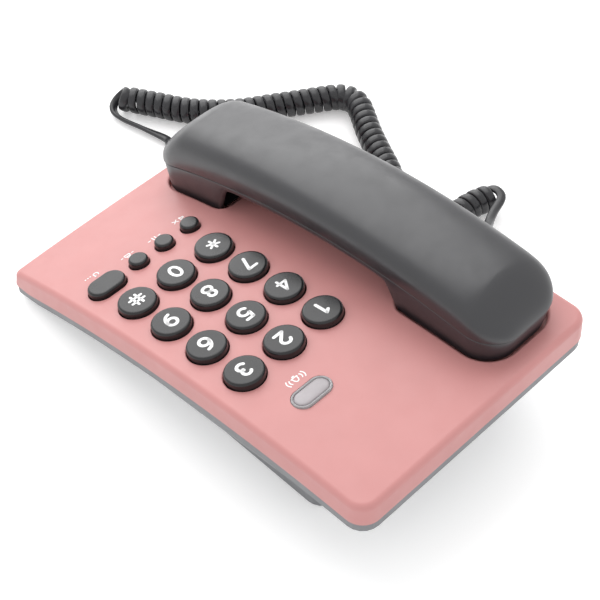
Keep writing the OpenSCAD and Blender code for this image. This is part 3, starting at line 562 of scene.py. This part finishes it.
# The joins of the tails and the coil: how many points to each side are smoothed, how
# strongly, and how often.
JOIN_REACH, JOIN_SHARE, JOIN_PASSES = 8, 0.5, 14
AXIS_STEP, TAIL_STEP = 0.4, 2
COIL_ROUTE = [
    (-45.6, -167, 8.2), (-50, -162, COIL_Z), (-53.5, -155.5, COIL_Z),
    *((x, y, COIL_Z) for x, y in (
        (-57.5, -148), (-62, -139), (-67.5, -130.5), (-74.5, -122.5), (-83.5, -114.5),
        (-94, -107.5), (-105, -100), (-115.5, -93), (-121.5, -88.5), (-124.5, -83.5),
        (-124.5, -78), (-121.5, -72), (-114.5, -61), (-108, -49), (-102.5, -38),
        (-97, -28), (-94, -18), (-93.5, -8), (-95, 0.5), (-98.5, 5), (-104, 6.5),
        (-109.5, 7), (-114.5, 8), (-118.5, 9.5), (-122.5, 11),
    )),
]
MOUTH_TAIL = [
    (HS_X, -104.9, 21.36), (HS_X, -109.4, 19.9), (-37.6, -115.5, 15.4), (-40.2, -120.5, 10.2),
    (-43.8, -125, 5.6), (-46, -129.5, 3.4), (-45.6, -135, 2.9), (-44.3, -141, 2.8),
    (-42.8, -148, 2.7), (-41.5, -154, 2.5), (-40.6, -160, 2.5), (-40.8, -165.5, 3),
]
BASE_TAIL = [
    (-124.4, 15.2, 10.6), (-121, 17.4, 11.4), (-114.5, 18.8, 11.4), (-108, 21.5, 12.6),
    (-102, 24.8, 14.8), (-95, 29.5, 19.5), (-86, 37, 27), (-78, 44.5, 32.6),
    (-71.5, 47.8, 34.3), (-66.8, 48, 34.35),
]


def coil_points():
    """The coil's centreline and the way out of it at each point."""
    axis = catmull(COIL_ROUTE, AXIS_STEP)
    walked = distances(axis)
    n = round(COIL_TURNS * TURN_POINTS)
    r = COIL_R - CORD_H / 2
    centres, outs = [], []
    for i in range(n + 1):
        q = i / n
        s = walked[-1] * (q + LOOSE * (1 - math.exp(-q / LOOSE))) / (1 + LOOSE)
        ahead = at_distance(min(s + 1, walked[-1]), walked, axis)
        behind = at_distance(max(s - 1, 0), walked, axis)
        t = (ahead - behind) / np.linalg.norm(ahead - behind)
        t += max(0, 1 - q / FIRST_SHARE) ** FIRST_POWER * (np.array(FIRST_TURN) - t)
        t /= np.linalg.norm(t)
        side = np.array([t[1], -t[0], 0])
        side /= np.linalg.norm(side)
        a = -math.pi / 2 - 2 * math.pi * COIL_TURNS * q
        out = math.cos(a) * side + math.sin(a) * np.cross(side, t)
        centres.append(at_distance(s, walked, axis) + r * out)
        outs.append(out)
    return centres, outs


coil, coil_outs = coil_points()
head = catmull(MOUTH_TAIL + [tuple(coil[0]), tuple(coil[1])], TAIL_STEP)[:-2]
tail = catmull([tuple(coil[-2]), tuple(coil[-1])] + BASE_TAIL, TAIL_STEP)
tail = tail[int(np.argmin(np.linalg.norm(tail - coil[-1], axis=1))) + 1 :]
cord_points = np.vstack([head[:-1], coil, tail])
for join in (len(head) - 1, len(head) - 1 + len(coil)):
    reach = np.abs(np.arange(len(cord_points)) - join)
    share = np.clip(1 - reach / JOIN_REACH, 0, 1)[1:-1, None] * JOIN_SHARE
    for _ in range(JOIN_PASSES):
        between = (cord_points[:-2] + cord_points[2:]) / 2
        cord_points[1:-1] += share * (between - cord_points[1:-1])
# The tail at the handset lies flat where it leaves the plug, turns its edge to the
# camera, and takes up the coil's own twist at its end. Each turn begins at a share of
# the tail and goes on over another.
EDGE_AT, EDGE_OVER, COIL_AT, COIL_OVER = 0.35, 0.4, 0.8, 0.2
to_camera = np.array(camera_back)
down = np.array([0, 0, -1.0])
head_normals = []
for i, t in enumerate(along(head)[:-1]):
    q = i / (len(head) - 1)
    turned_edge = np.cross(t, to_camera)
    turned_edge *= -1 if turned_edge[2] > 0 else 1
    twist, last = eased((q - EDGE_AT) / EDGE_OVER), eased((q - COIL_AT) / COIL_OVER)
    flat = (1 - twist) * down + twist * turned_edge
    head_normals.append((1 - last) * flat + last * coil_outs[0])
cord_normals = np.vstack([head_normals, coil_outs, np.tile([0, 0, 1.0], (len(tail), 1))])
ring = section(CORD_W / 2, CORD_H / 2, CORD_SIDES, CORD_POWER)
verts, faces = sweep(cord_points, cord_normals, ring)
curly_cord = new_object("curly_cord", verts, faces, 60)
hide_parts("cord_tail_handset", "cord_coil", "cord_tail_base")
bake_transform(curly_cord)

# ---------------------------------------------------------------- upper cover
# The lower edge as (inset, height over the seam), how far the wall above it stands in,
# and the hollow's top edge as (inset, depth) past the wall's thickness.
SEAM_EDGE = ((0.2, 0), (0.05, 0.07), (0, 0.25))
WALL_INSET = 0.3
HOLLOW_EDGE = ((0.2, 1), (1.2, 0))
COVER_SMOOTH = 32
rings = [over_seam(inset, h) for inset, h in SEAM_EDGE]
rings.append(over_arch(WALL_INSET, COVER_H - EDGE_R))
for a in range(9, 91, 9):
    c, s = math.cos(math.radians(a)), math.sin(math.radians(a))
    rings.append(over_arch(WALL_INSET + EDGE_R * (1 - c), COVER_H - EDGE_R + EDGE_R * s))
upper_cover = new_object("upper_cover_skin", *lofted(rings))
hollow = [over_seam(WALL, -PAST)]
hollow += [over_arch(WALL + inset, COVER_H - WALL - depth) for inset, depth in HOLLOW_EDGE]
boolean(upper_cover, lofted(hollow))
lobes = (mouth_half, ear_half)
cup = [(WELL_GAP + WALL, -WELL_DEPTH - WALL), (WELL_GAP + WALL, -WALL / 2)]
boolean(upper_cover, merged(*(well(half, cup) for half in lobes)), "UNION")
cutters = [well(half, rimmed(WELL_GAP, WELL_FLARE, -WELL_DEPTH, PAST)) for half in lobes]
for name, (u, v) in KEYS.items():
    r = reach = SMALL_R if name in SMALL_KEYS else KEY_R
    if name == "key_redial":
        r, reach = REDIAL_R, REDIAL_L / 2
    steps = rimmed(KEY_GAP, KEY_RIM, CUT_LOW, CUT_HIGH, 3)
    hole = stadium([(reach + g, r + g, h + sag(v)) for g, h in steps])
    cutters.append(moved(hole, lambda x, y, z, u=u, v=v: on_pad(x + u, y + v, z)))
cutters.append(lamp_shape(((LAMP_GAP, CUT_LOW), (LAMP_GAP, CUT_HIGH))))
outline = half_outline(HOOK_HALF_W, -HOOK_HALF_L, HOOK_HALF_L, HOOK_R, HOOK_R, [0])
levels = [deck_z(HOOK_Y) + h for h in (HOOK_LOW, HOOK_HIGH)]
slot = lofted([[(x, y, z) for x, y in outline] for z in levels])
cutters.append(moved(slot, lambda x, y, z: (x + HS_X, y + HOOK_Y, z)))
for cutter in cutters:
    boolean(upper_cover, cutter)
smooth(upper_cover.data, COVER_SMOOTH)
even = upper_cover.modifiers.new("even", "WEIGHTED_NORMAL")
even.keep_sharp = True
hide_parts("upper_cover")
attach(upper_cover, "base")

# ---------------------------------------------------------------- handset
# The rings of the top skin and of the hollow under it, as parts of the outline's size.
DOME_PARTS = (
    0.9995, 0.998, 0.995, 0.99, 0.982, 0.972, 0.958, 0.94, 0.915, 0.885, 0.85, 0.8, 0.74,
    0.67, 0.59, 0.5, 0.4, 0.3, 0.2, 0.1, 0.02,
)
HOLLOW_PARTS = (0.97, 0.9, 0.75, 0.5, 0.2)
HOLLOW_FOOT = 0.2
HS_SMOOTH = 45
rings = [part_ring(0, PART_GAP / 2)] + [dome_ring(0, part) for part in DOME_PARTS]
handset_top = new_object("handset_top", *moved(lofted(rings), over_handset), HS_SMOOTH)
inside = [part_ring(HS_WALL, -PAST), part_ring(HS_WALL, HOLLOW_FOOT)]
inside += [dome_ring(HS_WALL, part) for part in HOLLOW_PARTS]
boolean(handset_top, moved(lofted(inside), over_handset))
smooth(handset_top.data, HS_SMOOTH)
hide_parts("handset_top_shell")
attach(handset_top, "handset")

# (inset, height) steps: the rounded lower edge, and the groove at the parting line.
# The hollow is narrower at its floor, and its ramps are set off along Y towards the
# handle, as in part.scad. That opens the lobes' inner walls, a fault.
LOWER_EDGE = ((3, 0), (1.8, 0.3), (0.9, 0.9), (0.4, 1.65), (0.1, 2.6))
PART_GROOVE = ((0, -1.25), (0.12, -1), (0.4, -0.85), (1.3, -0.8), (1.3, -PART_GAP / 2))
FLOOR_EDGE, FLOOR_RISE, FLOOR_SHIFT = 2.4, 1.6, -1.6
rings = [under_ring(UNDER_INSET + inset, rise) for inset, rise in LOWER_EDGE]
rings += [part_ring(UNDER_INSET + inset, rise) for inset, rise in PART_GROOVE]
skin = moved(lofted(rings), over_handset)
handset_bottom = new_object("handset_bottom", *skin, HS_SMOOTH)
inside = [
    under_ring(UNDER_INSET + HS_WALL + FLOOR_EDGE, HS_WALL, FLOOR_SHIFT),
    under_ring(UNDER_INSET + HS_WALL, HS_WALL + FLOOR_RISE, FLOOR_SHIFT),
    part_ring(UNDER_INSET + HS_WALL, PAST),
]
boolean(handset_bottom, moved(lofted(inside), over_handset))


def in_lobe(at):
    """Places in the tangent frame of a lobe's bottom at a given y."""
    tilt = math.asin((HALF_L - at) / ARCH_R)
    c, s = math.cos(tilt), math.sin(tilt)
    low = deck_z(at) - LOBE_SINK

    def place(x, y, z):
        return HS_X + x, at + y * c - z * s, low + y * s + z * c

    return place


holes = []
sixths = [k * math.pi / 3 for k in range(6)]
ear_holes = [(0, 0)] + [(EAR_RING * math.cos(a), EAR_RING * math.sin(a)) for a in sixths]
mic_holes = [(-MIC_STEP, 0), (0, 0), (MIC_STEP, 0)]
for at, r, places in ((EAR_Y, EAR_HOLE_R, ear_holes), (MIC_Y, MIC_HOLE_R, mic_holes)):
    for u, v in places:
        hole = lathed([(r, -HOLE_REACH), (r, HOLE_REACH)], 20)
        hole = moved(hole, lambda x, y, z, u=u, v=v: (x + u, y + v, z))
        holes.append(moved(hole, in_lobe(at)))
for y in SCREW_YS:
    low = part_line(y) - HANDLE_DEPTH
    hole = lathed(SCREW_WELL, 24)
    holes.append(moved(hole, lambda x, y, z, at=y, low=low: (x + HS_X, y + at, z + low)))
boolean(handset_bottom, merged(*holes))
smooth(handset_bottom.data, HS_SMOOTH)
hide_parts("handset_bottom_shell")
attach(handset_bottom, "handset")

# ---------------------------------------------------------------- ringer lamp
# (growth, height) steps of the lens's rim and of the frosted window inside it.
RIM = (
    (0, -3), (0, 0.1), (-0.12, 0.42), (-0.4, 0.6), (-0.75, 0.58), (-1, 0.35), (-1.1, -0.2)
)
WINDOW = ((-1.12, -0.6), (-1.3, 0.25), (-1.55, 0.5), (-2.1, 0.68), (-3, 0.76), (-4, 0.8))
lamp_rim = new_object("lamp_rim", *lamp_shape(RIM), 50)
lamp_window = new_object("lamp_window", *lamp_shape(WINDOW), 50)
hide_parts("lamp_lens")
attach(lamp_rim, "base")
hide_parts("lamp_lens")
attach(lamp_window, "base")

# ---------------------------------------------------------------- digits and marks
# Stroke widths: the digits', and as shares of it those of the lighter and the bolder
# ones; and the marks' by the keys.
STROKE, LIGHT, BOLD = 1.35, 0.85, 1.05
LIGHT_KEYS = ("key_hash", "key_4", "key_star")
MARK_STROKE = 0.5
PRINT_H = 0.09
PRINT_SIDES, PRINT_POWER = 10, 3.5
STROKE_STEP = 0.3
CAP_ANGLES = (88, 75, 60, 45, 30, 15)


def arc(cx, cy, rx, ry, start, end, steps=24):
    """Points of an ellipse from one angle to another, in degrees."""
    angles = [math.radians(start + (end - start) * i / steps) for i in range(steps + 1)]
    return [(cx + rx * math.cos(a), cy + ry * math.sin(a)) for a in angles]


def turned(lines):
    """Lines turned by half a turn: a 9 from a 6."""
    return [[(-x, -y) for x, y in line] for line in lines]


SIX = [
    arc(0, -1.25, 2.1, 2.1, 0, 360, 40),
    [(-2.1, -1.25), (-2.08, -0.3), (-1.8, 0.8), (-1.2, 1.9), (-0.2, 2.9), (1.3, 3.3)],
]
DIGITS = {
    "key_0": [arc(0, 0, 2.05, 3.35, 0, 360, 48)],
    "key_1": [[(-1.3, 2.1), (0.35, 3.35)], [(0.35, 3.35), (0.35, -3.35)]],
    "key_2": [arc(0, 1.4, 2, 1.95, 165, -35) + [(-2.05, -3.3)], [(-2.05, -3.35), (2.1, -3.35)]],
    "key_3": [arc(-0.1, 1.6, 1.8, 1.75, 150, -78), arc(-0.1, -1.5, 2, 1.85, 78, -150)],
    "key_4": [[(1, -3.35), (1, 3.35)], [(1, 3.35), (-2.2, -1.5)], [(-2.2, -1.5), (2.2, -1.5)]],
    "key_5": [
        [(1.9, 3.35), (-1.3, 3.35)], [(-1.3, 3.35), (-1.7, 0.35)],
        arc(0, -1.2, 2.15, 2.15, 135, -145),
    ],
    "key_6": SIX,
    "key_7": [[(-2.05, 3.35), (2.05, 3.35)], [(2.05, 3.35), (-0.6, -3.35)]],
    "key_8": [arc(0, 1.75, 1.65, 1.6, 0, 360, 40), arc(0, -1.6, 2.05, 1.8, 0, 360, 40)],
    "key_9": turned(SIX),
    "key_star": [
        [(2.6 * math.cos(a), 2.6 * math.sin(a)), (-2.6 * math.cos(a), -2.6 * math.sin(a))]
        for a in (math.radians(90), math.radians(30), math.radians(150))
    ],
    "key_hash": [
        [(-1.15, -3), (-1.15, 3)], [(1.15, -3), (1.15, 3)],
        [(-3, 1.15), (3, 1.15)], [(-3, -1.15), (3, -1.15)],
    ],
}


def stroke_shape(line, width):
    """A flat printed stroke along a line, with rounded ends and sunk in by half."""
    line = np.array(line, float)
    closed = np.allclose(line[0], line[-1])
    r = width / 2
    walked = distances(line)
    total = walked[-1]
    n = max(2, round(total / STROKE_STEP))
    inner = [total * i / n for i in range(n + 1)]
    caps = [] if closed else [r * math.sin(math.radians(a)) for a in CAP_ANGLES]
    stops = [-c for c in caps] + inner + [total + c for c in reversed(caps)]
    points, scales = [], []
    first = (line[1] - line[0]) / np.linalg.norm(line[1] - line[0])
    last = (line[-1] - line[-2]) / np.linalg.norm(line[-1] - line[-2])
    for s in stops:
        inside = clamped(s, 0, total)
        over = s - inside
        p = at_distance(inside, walked, line) + (first if over < 0 else last) * over
        points.append((*p, 0))
        scales.append(math.sqrt(max(0, 1 - (over / r) ** 2)) if over else 1)
    ups = [np.array([0, 0, 1.0])] * len(points)
    ring = section(r, PRINT_H, PRINT_SIDES, PRINT_POWER)
    verts, faces = sweep(np.array(points), ups, ring, scales)
    return [(x, y, PRINT_H * (1 if z > 0 else -0.5)) for x, y, z in verts], faces


def mark(name, lines, width, place, body):
    """A printed piece of several strokes that rides a body."""
    shapes = [moved(stroke_shape(line, width), place) for line in lines]
    obj = new_object(name, *merged(*shapes), 50)
    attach(obj, body)
    return obj


prints = []
for name, lines in DIGITS.items():
    width = STROKE * (LIGHT if name in LIGHT_KEYS else BOLD)

    def on_key(x, y, z, place=KEYS[name]):
        u, v = place
        return on_pad(x + u, y + v, z + sag(v) + KEY_RISE)

    prints.append(mark("digit" + name[3:], lines, width, on_key, name + "_cap"))
MARKS = {
    "mute_mark": [
        [(-2.9, 0.45), (-2.1, 0.45), (-1.1, 1.15), (-1.1, -1.15), (-2.1, -0.45),
         (-2.9, -0.45), (-2.9, 0.45)],
        [(0.5, 0.95), (2.6, -0.95)], [(0.5, -0.95), (2.6, 0.95)],
    ],
    "pause_mark": [
        [(-0.7, -1.05), (-0.7, 1.05)], [(0.7, -1.05), (0.7, 1.05)],
        [(-3.3, 0), (-2.2, 0)], [(2.2, 0), (3.3, 0)],
    ],
    "hold_mark": [
        [(-1.3, 0.1), (-1.3, -1.15), (1.3, -1.15), (1.3, 0.1), (-1.3, 0.1)],
        arc(0, 0.2, 0.8, 1, 0, 180, 12),
        [(-3.2, -0.5), (-2.5, -0.5)], [(2.5, -0.5), (3.2, -0.5)],
    ],
    "redial_mark": [
        arc(-1.8, 0, 1.15, 1.15, 70, -230, 24),
        [(-1.4, 1.05), (-0.5, 1.2)], [(-1.4, 1.05), (-0.9, 0.25)],
        [(0.6, -0.7), (0.95, -0.7)], [(1.9, -0.7), (2.25, -0.7)], [(3.2, -0.7), (3.55, -0.7)],
    ],
    "ringer_mark": [
        [(-1.6, -0.9), (-1.15, -0.4), (-1.05, 0.5), (-0.6, 1.3), (0, 1.5),
         (0.6, 1.3), (1.05, 0.5), (1.15, -0.4), (1.6, -0.9), (-1.6, -0.9)],
        [(-0.4, -1.6), (0.4, -1.6)],
        *(
            arc(0, 0.2, r, r * 0.7, start, start + 60, 8)
            for r in (3, 4.4)
            for start in (-30, 150)
        ),
    ],
}
cover_mesh = bmesh.new()
cover_mesh.from_mesh(upper_cover.data)
cover_tree = BVHTree.FromBMesh(cover_mesh)
cover_mesh.free()
right = Vector((1, 0, 0))
for name, lines in MARKS.items():
    at, normal = on_surface(POINTS[name], cover_tree)
    ahead = normal.cross(right).normalized()

    def place(x, y, z, at=at, normal=normal, ahead=ahead):
        x, y, z = float(x), float(y), float(z)
        return tuple(at / MM + x * right + y * ahead + z * normal)

    prints.append(mark(name, lines, MARK_STROKE, place, "base"))

# ---------------------------------------------------------------- materials
def srgb(r, g, b):
    """Linear colour of an sRGB one written 0 to 255."""
    return tuple(
        (c / 255 / 12.92) if c / 255 <= 0.04045 else ((c / 255 + 0.055) / 1.055) ** 2.4
        for c in (r, g, b)
    ) + (1,)


def node(tree, kind, **inputs):
    """A shader node with some of its inputs set, by name."""
    n = tree.nodes.new(kind)
    for key, value in inputs.items():
        n.inputs[key.replace("_", " ")].default_value = value
    return n


def noise(tree, scale, detail, rough):
    """A noise texture in the piece's own coordinates."""
    coords = tree.nodes.get("Coords") or tree.nodes.new("ShaderNodeTexCoord")
    coords.name = "Coords"
    n = node(tree, "ShaderNodeTexNoise", Scale=scale, Detail=detail, Roughness=rough)
    tree.links.new(coords.outputs["Object"], n.inputs["Vector"])
    return n


def ramp(tree, source, low, high):
    """Two colours blended by the middle of a value's range."""
    r = tree.nodes.new("ShaderNodeValToRGB")
    for element, position, colour in zip(r.color_ramp.elements, RAMP_ENDS, (low, high)):
        element.position = position
        element.color = colour
    tree.links.new(source, r.inputs["Fac"])
    return r


# The textures that each material has: scale, detail and roughness of the clouds in its
# colour and of the wear in its gloss; where on them the two ends of the ramp lie; how
# much the gloss varies; and the height of the grain.
CLOUDS, WEAR = (45, 4, 0.6), (120, 5, 0.6)
RAMP_ENDS = (0.35, 0.65)
ROUGH_VARY = 0.05
GRAIN_HEIGHT = 0.0002


def material(name, colour, roughness, vary, grain, bump, **sockets):
    """A moulded material whose colour varies by a share and that has a fine grain."""
    mat = bpy.data.materials.new(name)
    mat.use_nodes = True
    tree = mat.node_tree
    shader = tree.nodes["Principled BSDF"]
    for key, value in sockets.items():
        shader.inputs[key.replace("_", " ")].default_value = value
    low = tuple(c * (1 - vary) for c in colour[:3]) + (1,)
    high = tuple(min(1, c * (1 + vary)) for c in colour[:3]) + (1,)
    clouds = noise(tree, *CLOUDS)
    tint = ramp(tree, clouds.outputs["Fac"], low, high)
    tree.links.new(tint.outputs["Color"], shader.inputs["Base Color"])
    wear = noise(tree, *WEAR)
    lo, hi = roughness - ROUGH_VARY, roughness + ROUGH_VARY
    rough = ramp(tree, wear.outputs["Fac"], (lo, lo, lo, 1), (hi, hi, hi, 1))
    tree.links.new(rough.outputs["Color"], shader.inputs["Roughness"])
    if bump:
        texture = noise(tree, grain, 2, 0.5)
        b = node(tree, "ShaderNodeBump", Strength=bump, Distance=GRAIN_HEIGHT)
        tree.links.new(texture.outputs["Fac"], b.inputs["Height"])
        tree.links.new(b.outputs["Normal"], shader.inputs["Normal"])
    return mat


def paint(obj, mat):
    """Puts one material on a whole piece."""
    if not obj.material_slots:
        obj.data.materials.append(mat)
    for s in obj.material_slots:
        s.material = mat


PINK = material("pink_moulded", srgb(198, 136, 134), 0.42, 0.02, 2600, 0.05)
GREY = material("grey_moulded", srgb(120, 121, 124), 0.45, 0.04, 2600, 0.05)
DARK = material(
    "handset_moulded", srgb(36, 36, 40), 0.36, 0.05, 2600, 0.06, Specular_IOR_Level=0.8
)
KEY = material("key_moulded", srgb(26, 26, 28), 0.24, 0.06, 2600, 0.03)
BLACK = material("black_moulded", srgb(32, 32, 34), 0.4, 0.06, 2000, 0.03)
CORD = material("cord_sheath", srgb(38, 38, 41), 0.3, 0.08, 1800, 0.05)
RUBBER = material("foot_rubber", srgb(30, 30, 31), 0.8, 0.1, 1200, 0.1)
SILICONE = material("silicone_mat", srgb(205, 202, 192), 0.6, 0.04, 1500, 0.05)
BOARD = material("board_green", srgb(34, 92, 56), 0.4, 0.15, 900, 0.08)
STEEL = material("plated_steel", srgb(176, 178, 180), 0.34, 0.08, 1600, 0.05, Metallic=1.0)
WHITE = material("white_print", srgb(244, 244, 244), 0.45, 0.01, 3000, 0.02)
LED = material("lamp_red", srgb(200, 60, 50), 0.25, 0.03, 1000, 0.0)
LENS_CLEAR = material(
    "lens_clear", srgb(226, 224, 226), 0.12, 0.02, 900, 0.03, Transmission_Weight=0.6, IOR=1.49
)
FROSTED = material("lens_frosted", srgb(160, 154, 157), 0.34, 0.14, 500, 0.3)
paint(curly_cord, CORD)
paint(upper_cover, PINK)
paint(handset_top, DARK)
paint(handset_bottom, DARK)
paint(lamp_rim, LENS_CLEAR)
paint(lamp_window, FROSTED)
for piece in prints:
    paint(piece, WHITE)
FINISH = {
    "upper_cover": PINK, "lower_cover": GREY, "desk_stand": GREY, "rubber_feet": RUBBER,
    "case_screws": STEEL, "keypad_mat": SILICONE, "main_board": BOARD, "board_screws": STEEL,
    "lamp_lens": LENS_CLEAR, "lamp_led": LED, "sounder": BLACK, "ballast_weight": STEEL,
    "line_jack": BLACK, "base_jack": BLACK, "hook_plunger": BLACK, "hook_switch": BLACK,
    "handset_top_shell": DARK, "handset_bottom_shell": DARK, "ear_capsule": STEEL,
    "mic_capsule": BLACK, "handset_weight": STEEL, "handset_jack": BLACK,
    "handset_screws": STEEL, "handset_plug": BLACK, "base_plug": BLACK,
}
for name, obj in NODES.items():
    paint(obj, KEY if name.startswith("key_") else FINISH.get(name, CORD))

# ---------------------------------------------------------------- floor and light
# The floor glows faintly, but only to the camera and in reflections.
FLOOR_HALF = 6.0
FLOOR_TONE, FLOOR_ROUGH, FLOOR_GLOW = 0.9, 0.9, 0.3
floor = new_object(
    "floor",
    [
        (x * FLOOR_HALF / MM, y * FLOOR_HALF / MM, 0)
        for x, y in ((-1, -1), (1, -1), (1, 1), (-1, 1))
    ],
    [(0, 1, 2, 3)],
)
floor_mat = bpy.data.materials.new("floor_white")
floor_mat.use_nodes = True
floor_tree = floor_mat.node_tree
floor_shader = floor_tree.nodes["Principled BSDF"]
floor_shader.inputs["Base Color"].default_value = (FLOOR_TONE, FLOOR_TONE, FLOOR_TONE, 1)
floor_shader.inputs["Roughness"].default_value = FLOOR_ROUGH
floor_shader.inputs["Emission Color"].default_value = (1, 1, 1, 1)
seen = floor_tree.nodes.new("ShaderNodeLightPath")
total = seen.outputs["Is Camera Ray"]
for ray in ("Is Glossy Ray", "Is Transmission Ray"):
    step = floor_tree.nodes.new("ShaderNodeMath")
    step.operation = "MAXIMUM"
    floor_tree.links.new(total, step.inputs[0])
    floor_tree.links.new(seen.outputs[ray], step.inputs[1])
    total = step.outputs[0]
glow = floor_tree.nodes.new("ShaderNodeMath")
glow.operation = "MULTIPLY"
glow.inputs[1].default_value = FLOOR_GLOW
floor_tree.links.new(total, glow.inputs[0])
floor_tree.links.new(glow.outputs[0], floor_shader.inputs["Emission Strength"])
paint(floor, floor_mat)

world = bpy.data.worlds.new("studio")
world.use_nodes = True
sky = world.node_tree.nodes["Background"]
sky.inputs["Color"].default_value = (1, 1, 1, 1)
sky.inputs["Strength"].default_value = 1.0
bpy.context.scene.world = world


def softbox(name, at, target, size, watts):
    """A rectangular area light that faces a target."""
    data = bpy.data.lights.new(name, "AREA")
    data.shape = "RECTANGLE"
    data.size, data.size_y = size
    data.energy = watts
    obj = bpy.data.objects.new(name, data)
    obj.location = at
    obj.rotation_euler = (Vector(target) - Vector(at)).to_track_quat("-Z", "Y").to_euler()
    bpy.context.scene.collection.objects.link(obj)


softbox("key_light", (-0.38, -0.8, 1.0), (0, 0, 0), (1.4, 1.4), 11)
softbox("low_light", (-0.75, -1.15, 0.42), (0, 0, 0.03), (1.1, 0.7), 3)

bpy.context.scene.view_settings.view_transform = "Standard"

# ---------------------------------------------------------------- how it lies on the photograph
def shown(objects, keep=lambda p: True):
    """Left, right, top and bottom, in pixels, of the vertices of some pieces."""
    places = [obj.matrix_world @ v.co for obj in objects for v in obj.data.vertices]
    xs, ys = zip(*(to_pixel(p) for p in places if keep(p)))
    return min(xs), max(xs), min(ys), max(ys)


pad_at = Vector(on_pad(0, 0, 0)) * MM
pad_up = Vector((0, -math.sin(PAD_TILT), math.cos(PAD_TILT)))
pad_ahead = Vector((0, math.cos(PAD_TILT), math.sin(PAD_TILT)))


def over_deck_at_pad(p):
    """Whether a place is above the deck beside a key."""
    away = p - pad_at
    return away.dot(pad_up) > sag(away.dot(pad_ahead) / MM) * MM


bpy.context.view_layer.update()
MARK_PIECES = {piece.name: piece for piece in prints}
for name, (x, y) in POINTS.items():
    if name == "lamp":
        box = shown([lamp_rim, lamp_window], over_deck_at_pad)
    elif name in NODES:
        box = shown([NODES[name]], over_deck_at_pad)
    else:
        box = shown([MARK_PIECES[name]])
box = shown([upper_cover, handset_top, handset_bottom, NODES["lower_cover"], NODES["desk_stand"]])
